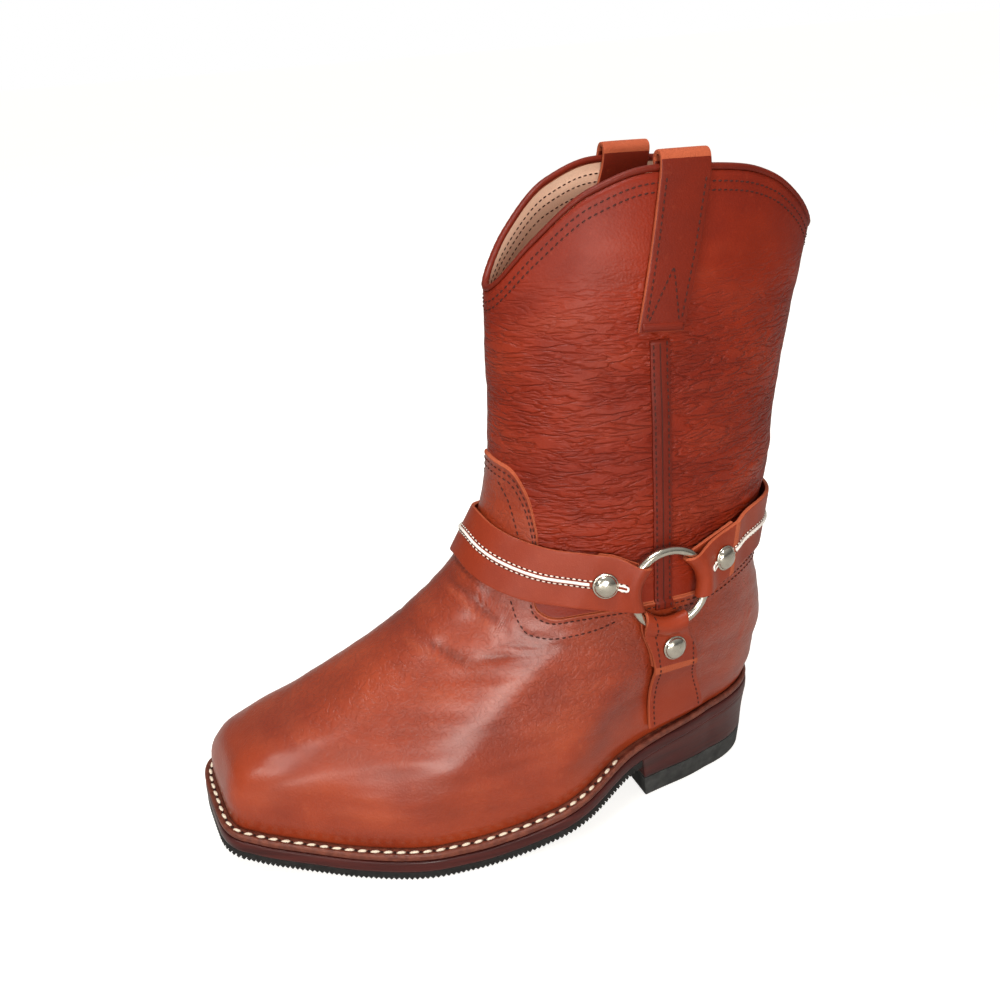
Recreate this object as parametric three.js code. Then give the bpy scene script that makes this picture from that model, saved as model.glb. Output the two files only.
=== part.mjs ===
// Western boot for the left foot, short shaft with a harness.
// Millimetres, +Z up, toe towards -Y, outer side of the foot towards +X.
import * as THREE from 'three';
import { mergeVertices } from 'three/addons/utils/BufferGeometryUtils.js';

// Driving sizes
const footLength = 270;
const ballWidth = 97;
const shaftHeight = 222;
const ankleWidth = 83;
const collarRise = 44;
const heelLine = 50;
const wall = 2.2;
const vampStep = 1.2;
const gap = 0.3;

// Sole and heel
const treadThickness = 3.8;
const midsoleThickness = 5.2;
const weltThickness = 3.0;
const insoleThickness = 2.8;
const insoleMargin = 1.5;
const liftThickness = 11;
const heelRise = 28.5;
const toeSpring = 11;
const breastLine = -24;
const heelTaper = 0.10;
const heelCentre = 14;
const weltReach = 6.6;
const heelReach = 3.4;

// Harness
const strapWidth = 26.5;
const strapNeck = 21;
const strapThickness = 2.0;
const lowerStrapWidth = 24;
const lowerFootWidth = 31;
const lowerStrapLean = 9;
const strapSlack = 0.3;
const frontLift = 0.8;
const underLayer = 35.8;
const lowerUnderLayer = 40;
const rivetDistance = 29.8;
const lowerRivetDistance = 29.8;
const ringRadius = 18.5;
const ringWire = 2.0;
const rivetRadius = 6;
const rivetDome = 2.6;
const rivetRim = 0.5;
const pipingWidth = 2.4;
const pipingHeight = 1.1;
const ringHeight = 0.516;
const ringSeatAlong = -13.5;

// Shaft trimmings
const beadRadius = 1.7;
const pullWidth = 23.5;
const pullFoot = 20.5;
const pullThickness = 2.2;
const pullLoop = 8.5;
const pullInside = 40;
const tapeWidth = 9;
const tapeThickness = 0.9;

// Mesh fineness
const ringSamples = 96;
const aroundHalf = 24;
const vampRows = 13;
const shaftRows = 11;
const soleHalf = 30;
const capSteps = 4;

const leather = { color: 0x8f3f22, roughness: 0.5, metalness: 0 };
const finishes = {
  upperLeather: leather,
  strapLeather: { color: 0x94452a, roughness: 0.55, metalness: 0 },
  lining: { color: 0xd8b79c, roughness: 0.8, metalness: 0 },
  weltLeather: { color: 0x5a3222, roughness: 0.6, metalness: 0 },
  soleEdge: { color: 0x4a1c18, roughness: 0.35, metalness: 0 },
  rubber: { color: 0x1d1d1c, roughness: 0.8, metalness: 0 },
  nickel: { color: 0xc2bdb2, roughness: 0.25, metalness: 1 },
  piping: { color: 0xe8e2d6, roughness: 0.6, metalness: 0 },
};

// Smooth curve through stations that never overshoots them.
function smoothCurve(stations, values) {
  const count = stations.length;
  const slopes = [];
  const steps = [];
  for (let i = 0; i < count - 1; i += 1) {
    steps.push(stations[i + 1] - stations[i]);
    slopes.push((values[i + 1] - values[i]) / steps[i]);
  }
  const tangents = [slopes[0]];
  for (let i = 1; i < count - 1; i += 1) {
    const before = slopes[i - 1];
    const after = slopes[i];
    if (before * after <= 0) {
      tangents.push(0);
      continue;
    }
    const a = 2 * steps[i] + steps[i - 1];
    const b = steps[i] + 2 * steps[i - 1];
    tangents.push((a + b) / (a / before + b / after));
  }
  tangents.push(slopes[count - 2]);
  return (x) => {
    if (x <= stations[0]) return values[0];
    if (x >= stations[count - 1]) return values[count - 1];
    let i = 0;
    while (x > stations[i + 1]) i += 1;
    const h = steps[i];
    const k = (x - stations[i]) / h;
    const k2 = k * k;
    const k3 = k2 * k;
    return (2 * k3 - 3 * k2 + 1) * values[i] + (k3 - 2 * k2 + k) * h * tangents[i]
      + (3 * k2 - 2 * k3) * values[i + 1] + (k3 - k2) * h * tangents[i + 1];
  };
}

// Underside of the sole, from behind the heel to past the toe: station is a share of the foot's
// length from the heel line, heel and toe are shares of the heel's rise and of the toe spring.
const undersideRows = [
  { station: -0.06, heel: 1.03, toe: 0 },
  { station: 0.0, heel: 1.0, toe: 0 },
  { station: 0.11, heel: 0.92, toe: 0 },
  { station: 0.2, heel: 0.82, toe: 0 },
  { station: 0.275, heel: 0.7, toe: 0 },
  { station: 0.41, heel: 0.33, toe: 0 },
  { station: 0.54, heel: 0.06, toe: 0 },
  { station: 0.61, heel: 0, toe: 0 },
  { station: 0.8, heel: 0, toe: 0 },
  { station: 0.92, heel: 0, toe: 0.3 },
  { station: 1.0, heel: 0, toe: 0.65 },
  { station: 1.08, heel: 0, toe: 1.1 },
];
const undersideCurve = smoothCurve(
  undersideRows.map((row) => row.station),
  undersideRows.map((row) => row.heel * heelRise + row.toe * toeSpring),
);
const underside = (y) => undersideCurve((heelLine - y) / footLength);
const midsoleBottom = (y) => underside(y) + treadThickness + gap;
const weltBottom = (y) => midsoleBottom(y) + midsoleThickness + gap;
const seat = (y) => weltBottom(y) + weltThickness + gap;

// Rings of the last and shaft, from the feather line (t 0) to the collar (t 1). back and front
// are shares of the foot's length, backUp and frontUp of the shaft's height. The widths are half
// widths: in the foot shares of the ball width, and in the shaft the same number of its ankle.
const ringColumns = ['t', 'back', 'backUp', 'front', 'frontUp', 'heel', 'waistOut', 'waistIn',
  'archOut', 'archIn', 'ballOut', 'ballIn', 'foreOut', 'foreIn', 'tipOut', 'tipIn', 'rear', 'nose',
  'power', 'follow', 'slant', 'scallop'];
const ringRows = [
  [0.00, 0.000, 0.000, 1.000, 0.000, 0.31, 0.395, 0.30, 0.545, 0.32, 0.535, 0.43, 0.315, 0.44,
    0.21, 0.41, 0.20, 0.08, 4.0, 1.0, 0.10, 0],
  [0.05, 0.008, 0.022, 1.004, 0.050, 0.32, 0.405, 0.31, 0.555, 0.33, 0.55, 0.445, 0.33, 0.45,
    0.23, 0.42, 0.20, 0.09, 3.8, 1.0, 0.10, 0],
  [0.10, 0.014, 0.045, 0.990, 0.108, 0.33, 0.405, 0.325, 0.55, 0.35, 0.545, 0.45, 0.335, 0.44,
    0.25, 0.41, 0.20, 0.13, 3.3, 0.9, 0.09, 0],
  [0.16, 0.018, 0.070, 0.950, 0.152, 0.335, 0.40, 0.34, 0.525, 0.37, 0.53, 0.44, 0.35, 0.41,
    0.28, 0.39, 0.21, 0.19, 2.9, 0.75, 0.07, 0],
  [0.23, 0.022, 0.100, 0.865, 0.205, 0.345, 0.405, 0.36, 0.50, 0.385, 0.49, 0.42, 0.37, 0.38,
    0.34, 0.37, 0.23, 0.28, 2.7, 0.55, 0.04, 0],
  [0.31, 0.028, 0.140, 0.758, 0.273, 0.36, 0.415, 0.38, 0.47, 0.40, 0.45, 0.405, 0.37, 0.36,
    0.36, 0.36, 0.26, 0.36, 2.5, 0.35, 0.02, 0],
  [0.39, 0.026, 0.185, 0.655, 0.352, 0.38, 0.43, 0.40, 0.45, 0.41, 0.425, 0.395, 0.37, 0.36,
    0.37, 0.36, 0.30, 0.42, 2.3, 0.2, 0, 0],
  [0.46, 0.021, 0.235, 0.575, 0.430, 0.39, 0.43, 0.41, 0.435, 0.41, 0.415, 0.40, 0.38, 0.37,
    0.38, 0.37, 0.35, 0.46, 2.2, 0.1, 0, 0],
  [0.52, 0.012, 0.290, 0.525, 0.500, 0.40, 0.425, 0.41, 0.43, 0.415, 0.42, 0.41, 0.40, 0.39,
    0.40, 0.39, 0.40, 0.48, 2.1, 0, 0, 0],
  [0.58, 0.017, 0.365, 0.495, 0.578, 0.41, 0.42, 0.41, 0.425, 0.415, 0.42, 0.415, 0.41, 0.41,
    0.41, 0.41, 0.45, 0.5, 2.0, 0, 0, 0],
  [0.67, 0.037, 0.490, 0.479, 0.682, 0.415, 0.42, 0.415, 0.42, 0.415, 0.42, 0.415, 0.42, 0.415,
    0.42, 0.415, 0.5, 0.5, 2.0, 0, 0, 0.05],
  [0.80, 0.057, 0.690, 0.475, 0.825, 0.40, 0.40, 0.40, 0.40, 0.40, 0.40, 0.40, 0.40, 0.40,
    0.40, 0.40, 0.5, 0.5, 2.0, 0, 0, 0.25],
  [0.91, 0.088, 0.860, 0.475, 0.960, 0.365, 0.365, 0.365, 0.365, 0.365, 0.365, 0.365, 0.365,
    0.365, 0.365, 0.365, 0.5, 0.5, 2.0, 0, 0, 0.62],
  [1.00, 0.117, 1.000, 0.475, 1.050, 0.30, 0.30, 0.30, 0.30, 0.30, 0.30, 0.30, 0.30, 0.30,
    0.30, 0.30, 0.5, 0.5, 2.0, 0, 0, 1],
];
const widthStations = [0.12, 0.3, 0.46, 0.66, 0.88, 0.97];
const outerWidths = ['heel', 'waistOut', 'archOut', 'ballOut', 'foreOut', 'tipOut'];
const innerWidths = ['heel', 'waistIn', 'archIn', 'ballIn', 'foreIn', 'tipIn'];
const ringCurves = {};
ringColumns.forEach((name, column) => {
  ringCurves[name] = smoothCurve(ringRows.map((row) => row[0]), ringRows.map((row) => row[column]));
});

// Height of the collar's side arches over the way from back to front, as shares of its rise.
const archRows = [
  { along: 0, rise: 0 },
  { along: 0.09, rise: 0.38 },
  { along: 0.2, rise: 0.69 },
  { along: 0.3, rise: 0.84 },
  { along: 0.45, rise: 0.94 },
  { along: 0.6, rise: 1 },
  { along: 0.75, rise: 0.87 },
  { along: 0.9, rise: 0.45 },
  { along: 1, rise: 0 },
];
const archCurve = smoothCurve(archRows.map((row) => row.along), archRows.map((row) => row.rise));
const shaftStart = 0.46;
const shaftFull = 0.67;

const mix = (a, b, k) => a + (b - a) * k;
const clamp01 = (x) => Math.min(1, Math.max(0, x));
const ease = (x) => clamp01(x) * clamp01(x) * (3 - 2 * clamp01(x));

function capShare(distance, length, power) {
  if (distance >= length) return 1;
  const k = 1 - Math.max(0, distance) / length;
  return Math.max(0, 1 - k ** power) ** (1 / power);
}

const ringCache = new Map();

// One ring: both sides as points from back centre to front centre with their share of arc length.
function ringAt(t) {
  const key = Math.round(t * 1e5);
  if (ringCache.has(key)) return ringCache.get(key);
  const at = (name) => ringCurves[name](t);
  const yBack = heelLine + at('back') * footLength;
  const yFront = heelLine - at('front') * footLength;
  const zBack = seat(heelLine) + at('backUp') * shaftHeight;
  const zFront = seat(heelLine - footLength) + at('frontUp') * shaftHeight;
  const unit = mix(ballWidth, ankleWidth * 1.17, ease((t - shaftStart) / (shaftFull - shaftStart)));
  const sides = [outerWidths, innerWidths].map((columns, index) => {
    const widths = smoothCurve(widthStations, columns.map((name) => at(name) * unit));
    const points = [];
    const reach = [0];
    for (let k = 0; k <= ringSamples; k += 1) {
      const u = (1 - Math.cos((Math.PI * k) / ringSamples)) / 2;
      const half = widths(u) * capShare(u, at('rear'), 2.1) * capShare(1 - u, at('nose'), at('power'));
      const x = index === 0 ? half : -half;
      const y = mix(yBack, yFront, u) + at('slant') * x * u ** 4;
      const sag = at('follow') * (seat(y) - mix(seat(yBack), seat(yFront), u));
      const arch = at('scallop') * collarRise * archCurve(u);
      const z = mix(zBack, zFront, u) + sag + arch;
      const point = new THREE.Vector3(x, y, z);
      if (k > 0) reach.push(reach[k - 1] + point.distanceTo(points[k - 1]));
      points.push(point);
    }
    return { points, reach };
  });
  ringCache.set(key, sides);
  return sides;
}

// Point of the upper's surface: t from feather line to collar, s from back centre (0) to front
// centre (1 on the outer side, -1 on the inner side).
function skin(t, s) {
  let around = s;
  if (around > 1) around -= 2;
  if (around < -1) around += 2;
  const side = ringAt(t)[around >= 0 ? 0 : 1];
  const target = Math.abs(around) * side.reach[ringSamples];
  let low = 0;
  let high = ringSamples;
  while (high - low > 1) {
    const middle = (low + high) >> 1;
    if (side.reach[middle] <= target) low = middle;
    else high = middle;
  }
  const span = side.reach[high] - side.reach[low];
  const k = span > 0 ? (target - side.reach[low]) / span : 0;
  return side.points[low].clone().lerp(side.points[high], k);
}

const slopeStep = 0.02;

function skinNormal(t, s) {
  const low = Math.max(0, t - slopeStep);
  const high = Math.min(1, t + slopeStep);
  const up = skin(high, s).sub(skin(low, s));
  const along = skin(t, s + slopeStep).sub(skin(t, s - slopeStep));
  return up.cross(along).normalize();
}

const offsetSkin = (t, s, offset) => skin(t, s).addScaledVector(skinNormal(t, s), offset);

// Distance along the surface per unit of t at a point.
function climb(t, s) {
  return skin(Math.min(1, t + slopeStep), s).distanceTo(skin(Math.max(0, t - slopeStep), s))
    / (Math.min(1, t + slopeStep) - Math.max(0, t - slopeStep));
}

// Top edge of vamp and counter as t over the way round: tongue at the front, a scoop below the
// strap, and level with the ring at the side seam.
const vampEdgeRows = [
  { around: 0.0, height: 0.57 },
  { around: 0.25, height: 0.53 },
  { around: 0.4, height: 0.49 },
  { around: 0.5, height: 0.475 },
  { around: 0.6, height: 0.46 },
  { around: 0.65, height: 0.452 },
  { around: 0.695, height: 0.445 },
  { around: 0.74, height: 0.455 },
  { around: 0.78, height: 0.49 },
  { around: 0.82, height: 0.575 },
  { around: 0.865, height: 0.64 },
  { around: 0.92, height: 0.68 },
  { around: 1.0, height: 0.69 },
];
const vampEdgeCurve = smoothCurve(
  vampEdgeRows.map((row) => row.around),
  vampEdgeRows.map((row) => row.height),
);
const vampEdge = (s) => vampEdgeCurve(Math.abs(s));

function closedGeometry(vertices, faces) {
  const geometry = new THREE.BufferGeometry();
  const flat = vertices.flatMap((p) => [p.x, p.y, p.z]);
  geometry.setAttribute('position', new THREE.Float32BufferAttribute(flat, 3));
  geometry.setIndex(faces.flat());
  return mergeVertices(geometry, 1e-4);
}

function signedVolume(geometry) {
  const position = geometry.getAttribute('position');
  const index = geometry.getIndex();
  const a = new THREE.Vector3();
  const b = new THREE.Vector3();
  const c = new THREE.Vector3();
  let sum = 0;
  for (let i = 0; i < index.count; i += 3) {
    a.fromBufferAttribute(position, index.getX(i));
    b.fromBufferAttribute(position, index.getX(i + 1));
    c.fromBufferAttribute(position, index.getX(i + 2));
    sum += a.dot(b.cross(c));
  }
  return sum / 6;
}

function faceOut(geometry) {
  if (signedVolume(geometry) > 0) return geometry;
  const index = geometry.getIndex();
  for (let i = 0; i < index.count; i += 3) {
    const keep = index.getX(i);
    index.setX(i, index.getX(i + 1));
    index.setX(i + 1, keep);
  }
  return geometry;
}

// Closed solid from a grid of loops: rows joined in turn, each a closed loop, last to first.
function ringTube(rows) {
  const vertices = rows.flat();
  const around = rows[0].length;
  const faces = [];
  for (let i = 0; i < rows.length; i += 1) {
    const next = (i + 1) % rows.length;
    for (let j = 0; j < around; j += 1) {
      const k = (j + 1) % around;
      faces.push([i * around + j, i * around + k, next * around + k]);
      faces.push([i * around + j, next * around + k, next * around + j]);
    }
  }
  return faceOut(closedGeometry(vertices, faces));
}

// Closed solid from loops stacked end to end, with flat fans at the two ends.
function cappedTube(loops) {
  const vertices = loops.flat();
  const around = loops[0].length;
  const faces = [];
  for (let i = 0; i < loops.length - 1; i += 1) {
    for (let j = 0; j < around; j += 1) {
      const k = (j + 1) % around;
      faces.push([i * around + j, i * around + k, (i + 1) * around + k]);
      faces.push([i * around + j, (i + 1) * around + k, (i + 1) * around + j]);
    }
  }
  const last = (loops.length - 1) * around;
  for (let j = 1; j < around - 1; j += 1) {
    faces.push([0, j + 1, j]);
    faces.push([last, last + j, last + j + 1]);
  }
  return faceOut(closedGeometry(vertices, faces));
}

// Sheet of leather from a grid of middle points, thick along the grid's own normals.
function sheetSolid(grid, thickness) {
  const rows = grid.length;
  const columns = grid[0].length;
  const front = [];
  const rear = [];
  for (let i = 0; i < rows; i += 1) {
    for (let j = 0; j < columns; j += 1) {
      const along = grid[Math.min(rows - 1, i + 1)][j].clone().sub(grid[Math.max(0, i - 1)][j]);
      const across = grid[i][Math.min(columns - 1, j + 1)].clone()
        .sub(grid[i][Math.max(0, j - 1)]);
      const normal = along.cross(across).normalize();
      front.push(grid[i][j].clone().addScaledVector(normal, thickness / 2));
      rear.push(grid[i][j].clone().addScaledVector(normal, -thickness / 2));
    }
  }
  const faces = [];
  const back = rows * columns;
  const quad = (a, b, c, d) => faces.push([a, b, c], [a, c, d]);
  for (let i = 0; i < rows - 1; i += 1) {
    for (let j = 0; j < columns - 1; j += 1) {
      const a = i * columns + j;
      quad(a, a + 1, a + columns + 1, a + columns);
      quad(back + a, back + a + columns, back + a + columns + 1, back + a + 1);
    }
    const left = i * columns;
    const right = left + columns - 1;
    quad(left, left + columns, back + left + columns, back + left);
    quad(right, back + right, back + right + columns, right + columns);
  }
  for (let j = 0; j < columns - 1; j += 1) {
    const end = (rows - 1) * columns + j;
    quad(j, back + j, back + j + 1, j + 1);
    quad(end, end + 1, back + end + 1, back + end);
  }
  return faceOut(closedGeometry([...front, ...rear], faces));
}

const boot = new THREE.Group();

function addPart(name, geometry, finish) {
  const mesh = new THREE.Mesh(geometry, new THREE.MeshStandardMaterial(finishes[finish]));
  mesh.name = name;
  boot.add(mesh);
}

// Ways round the ring, closer together towards the toe where the vamp edge is steep.
function aroundStations() {
  const half = [];
  for (let j = 0; j <= aroundHalf; j += 1) {
    const k = j / aroundHalf;
    half.push(k + 0.045 * Math.sin(2 * Math.PI * k));
  }
  const inner = half.slice(1, -1).reverse().map((s) => -s);
  return [...half, ...inner];
}

// Point of a wall's face, which ends on the seat at the feather line.
function wallPoint(t, s, offset) {
  const point = offsetSkin(t, s, offset);
  if (t === 0) point.z = seat(point.y);
  return point;
}

function buildUpper() {
  const around = aroundStations();
  const rows = [];
  for (let i = 0; i <= vampRows; i += 1) {
    const k = i / vampRows;
    rows.push(around.map((s) => wallPoint(k * vampEdge(s), s, vampStep)));
  }
  for (let i = 0; i <= shaftRows; i += 1) {
    const k = i / shaftRows;
    rows.push(around.map((s) => offsetSkin(mix(vampEdge(s), 1, k), s, 0)));
  }
  for (let i = shaftRows; i >= 0; i -= 1) {
    const k = i / shaftRows;
    rows.push(around.map((s) => offsetSkin(mix(vampEdge(s), 1, k), s, -wall)));
  }
  for (let i = vampRows - 1; i >= 0; i -= 1) {
    const k = i / vampRows;
    rows.push(around.map((s) => wallPoint(k * vampEdge(s), s, -wall)));
  }
  addPart('upper', ringTube(rows), 'upperLeather');
}

// Outline of the sole in plan, grown outwards from the feather line.
function outlinePoint(s, grow) {
  const along = skin(0, s + slopeStep).sub(skin(0, s - slopeStep));
  const outward = new THREE.Vector3(-along.y, along.x, 0).normalize();
  return skin(0, s).addScaledVector(outward, grow);
}

const reachAt = (s) => {
  const k = ease((Math.abs(s) - 0.12) / 0.3);
  return mix(heelReach, weltReach, k);
};

// Share of the way round where the grown outline crosses a line of constant y.
function crossing(side, line, inset) {
  let low = 0.02;
  let high = 0.9;
  for (let i = 0; i < 40; i += 1) {
    const middle = (low + high) / 2;
    if (outlinePoint(side * middle, reachAt(middle) - inset).y > line) low = middle;
    else high = middle;
  }
  return low;
}

// Slab between two outlines that share their ways round: from and to give the start and end on
// each side, top and bottom the heights, inset and draw the shape of each outline.
function slab({ from, to, inset, top, bottom, place }) {
  const loops = [0, 1].map((level) => [1, -1].map((side) => {
    const points = [];
    for (let j = 0; j <= soleHalf; j += 1) {
      const s = side * mix(from(side), to(side), j / soleHalf);
      const flat = place(outlinePoint(s, reachAt(s) - inset), level);
      flat.z = level === 0 ? bottom(flat.y) : top(flat.y);
      points.push(flat);
    }
    return points;
  }));
  const vertices = loops.flat(2);
  const count = soleHalf + 1;
  const at = (level, side, j) => (level * 2 + side) * count + j;
  const faces = [];
  const quad = (a, b, c, d) => faces.push([a, b, c], [a, c, d]);
  for (let j = 0; j < soleHalf; j += 1) {
    quad(at(0, 0, j), at(0, 0, j + 1), at(0, 1, j + 1), at(0, 1, j));
    quad(at(1, 0, j), at(1, 1, j), at(1, 1, j + 1), at(1, 0, j + 1));
    quad(at(0, 0, j), at(1, 0, j), at(1, 0, j + 1), at(0, 0, j + 1));
    quad(at(0, 1, j), at(0, 1, j + 1), at(1, 1, j + 1), at(1, 1, j));
  }
  quad(at(0, 0, 0), at(0, 1, 0), at(1, 1, 0), at(1, 0, 0));
  quad(at(0, 0, soleHalf), at(1, 0, soleHalf), at(1, 1, soleHalf), at(0, 1, soleHalf));
  const merged = closedGeometry(vertices, faces);
  return faceOut(dropFlatTriangles(merged));
}

function dropFlatTriangles(geometry) {
  const index = Array.from(geometry.getIndex().array);
  const kept = [];
  for (let i = 0; i < index.length; i += 3) {
    const [a, b, c] = index.slice(i, i + 3);
    if (a !== b && b !== c && a !== c) kept.push(a, b, c);
  }
  geometry.setIndex(kept);
  return geometry;
}

function buildSole() {
  const stay = (point) => point;
  const whole = { from: () => 0, to: () => 1, inset: 0, place: stay };
  addPart('welt', slab({ ...whole, top: (y) => seat(y) - gap, bottom: weltBottom }), 'weltLeather');
  addPart('midsole', slab({ ...whole, top: (y) => weltBottom(y) - gap, bottom: midsoleBottom }),
    'soleEdge');
  addPart('outsole', slab({
    ...whole,
    from: (side) => crossing(side, breastLine - gap, 0),
    top: (y) => midsoleBottom(y) - gap,
    bottom: underside,
  }), 'rubber');
  addPart('insole', slab({
    ...whole,
    inset: weltReach + wall + insoleMargin,
    top: (y) => seat(y) + insoleThickness,
    bottom: seat,
  }), 'lining');
}

function buildHeel() {
  const heelTop = midsoleBottom(heelLine);
  const drawn = (height) => (point) => {
    const k = 1 - heelTaper * (1 - height / heelTop);
    const shrunk = new THREE.Vector3(point.x * k, mix(heelCentre, point.y, k), point.z);
    return shrunk;
  };
  const base = { from: () => 0, to: (side) => crossing(side, breastLine, 0), inset: 0 };
  addPart('heel_stack', slab({
    ...base,
    place: (point, level) => (level === 1 ? point : drawn(liftThickness)(point)),
    top: (y) => midsoleBottom(y) - gap,
    bottom: () => liftThickness + gap,
  }), 'soleEdge');
  addPart('heel_lift', slab({
    ...base,
    place: (point, level) => drawn(level === 1 ? liftThickness : 0)(point),
    top: () => liftThickness,
    bottom: () => 0,
  }), 'rubber');
}

const sideNames = { 1: 'outer', [-1]: 'inner' };
const strapSeat = vampStep + gap + strapSlack + strapThickness / 2;
const wireSeat = strapSeat + strapThickness / 2 + gap + ringWire;
const foldRadius = ringWire + gap + strapThickness / 2;

// Way round at which the skin passes a given y, on one side.
function aroundAtY(t, y, side) {
  let low = 0;
  let high = 1;
  for (let i = 0; i < 30; i += 1) {
    const middle = (low + high) / 2;
    if (skin(t, side * middle).y > y) low = middle;
    else high = middle;
  }
  return side * low;
}

const ringAround = aroundAtY(ringHeight, ringSeatAlong, 1);

// Middle lines of the front and back strap, as height over the way round.
const strapLines = {
  front: smoothCurve([ringAround, 0.62, 0.75, 0.88, 1], [ringHeight, 0.519, 0.516, 0.525, 0.542]),
  back: smoothCurve([0, 0.2, 0.35, ringAround], [0.605, 0.592, 0.557, ringHeight]),
};

// Frame of a harness ring: its centre off the skin, and the ways forward, up and out.
function ringFrame(side) {
  const s = side * ringAround;
  const out = skinNormal(ringHeight, s);
  const fore = skin(ringHeight, s + side * slopeStep).sub(skin(ringHeight, s - side * slopeStep));
  fore.addScaledVector(out, -fore.dot(out)).normalize();
  const up = fore.clone().cross(out).multiplyScalar(side);
  const foot = skin(ringHeight, s);
  return { foot, fore, up, out };
}

const ringFrames = { 1: ringFrame(1), [-1]: ringFrame(-1) };

function buildRings() {
  [1, -1].forEach((side) => {
    const { foot, fore, up, out } = ringFrames[side];
    const torus = new THREE.TorusGeometry(ringRadius, ringWire, 7, 24);
    torus.deleteAttribute('normal');
    torus.deleteAttribute('uv');
    const centre = foot.clone().addScaledVector(out, wireSeat);
    const place = new THREE.Matrix4().makeBasis(fore, up, out).setPosition(centre);
    const merged = mergeVertices(torus.applyMatrix4(place), 1e-4);
    addPart(`ring_${sideNames[side]}`, faceOut(merged), 'nickel');
  });
}

// Distance table along a route over the skin, given as points (t, s).
function measureRoute(points) {
  const reach = [0];
  for (let i = 1; i < points.length; i += 1) {
    const before = skin(points[i - 1].t, points[i - 1].s);
    reach.push(reach[i - 1] + before.distanceTo(skin(points[i].t, points[i].s)));
  }
  const length = reach[reach.length - 1];
  return {
    length,
    at(distance) {
      let i = 0;
      while (i < points.length - 2 && reach[i + 1] < distance) i += 1;
      const k = clamp01((distance - reach[i]) / (reach[i + 1] - reach[i]));
      return { t: mix(points[i].t, points[i + 1].t, k), s: mix(points[i].s, points[i + 1].s, k) };
    },
  };
}

const routeSteps = 120;
const rowSpacing = 6.4;
const strapRoutes = {
  front: measureRoute(Array.from({ length: routeSteps + 1 }, (_, i) => {
    const s = mix(ringAround, 2 - ringAround, i / routeSteps);
    return { t: strapLines.front(s > 1 ? 2 - s : s), s };
  })),
  back: measureRoute(Array.from({ length: routeSteps + 1 }, (_, i) => {
    const s = mix(ringAround, -ringAround, i / routeSteps);
    return { t: strapLines.back(Math.abs(s)), s };
  })),
};

const acrossStations = [-1, -0.5, 0, 0.5, 1];

// Row of middle points across a strap that follows the skin and bridges hollows.
function skinRow(t, s, width, offset) {
  const perUnit = climb(t, s);
  const own = acrossStations.map((v) => {
    const height = Math.min(1, t + (v * width) / 2 / perUnit);
    return offsetSkin(height, s, offset);
  });
  return bridgeRow(own, skinNormal(t, s));
}

function bridgeRow(own, normal) {
  return own.map((point, j) => {
    const chord = own[0].clone().lerp(own[own.length - 1], (acrossStations[j] + 1) / 2);
    const above = chord.clone().sub(point).dot(normal) > 0;
    return above ? chord : point;
  });
}

// Distance of the wire's middle from the ring's centre at a place across the strap's neck.
const wireDistance = (v) => Math.sqrt(ringRadius ** 2 - ((v * strapNeck) / 2) ** 2);
const foldFrom = -Math.PI / 2;
const foldTo = Math.PI * 0.76;
const foldSteps = 6;
const foldSlack = 0.1;
const layerFlat = 23.8;
const layerDown = 8;
const flatFrom = 16;
const flatTo = 33;
const doubledSeat = strapSeat + strapThickness + gap;
const doubledStations = (underEnd) => [layerFlat, mix(layerFlat, underEnd, 0.5), underEnd];

// Rows of one strap end, from the end of its under layer round the wire to the outer layer, at
// distances from the ring's centre. way is the strap's way out in the ring's plane.
function strapEnd({ side, way, across, skinAt, underEnd, width }) {
  const { foot, out } = ringFrames[side];
  const place = (distance, v, offset, wide) => {
    const flat = foot.clone().addScaledVector(way, distance)
      .addScaledVector(across, (v * wide) / 2).addScaledVector(out, offset);
    const blend = ease((distance - flatFrom) / (flatTo - flatFrom));
    if (blend === 0) return flat;
    return flat.lerp(skinAt(distance, v, offset, wide), blend);
  };
  const wideAt = (distance) => mix(strapNeck, width, ease((distance - flatFrom) / 12));
  const rowAt = (distance, offset) => acrossStations.map(
    (v) => place(distance, v, offset, wideAt(distance)),
  );
  const rows = doubledStations(underEnd).reverse().map((distance) => rowAt(distance, strapSeat));
  for (let k = 0; k <= foldSteps; k += 1) {
    const angle = mix(foldFrom, foldTo, k / foldSteps);
    rows.push(acrossStations.map((v) => {
      const oblique = ringRadius / wireDistance(v);
      const distance = wireDistance(v) - Math.cos(angle) * (foldRadius + foldSlack) * oblique;
      return place(distance, v, wireSeat + Math.sin(angle) * foldRadius, wideAt(0));
    }));
  }
  doubledStations(underEnd).forEach((distance) => rows.push(rowAt(distance, doubledSeat)));
  return rows;
}

const firstOuterRow = 3 + foldSteps + 1;

function outerOffset(distance, underEnd) {
  return mix(doubledSeat, strapSeat, ease((distance - underEnd - 2) / layerDown));
}

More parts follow.
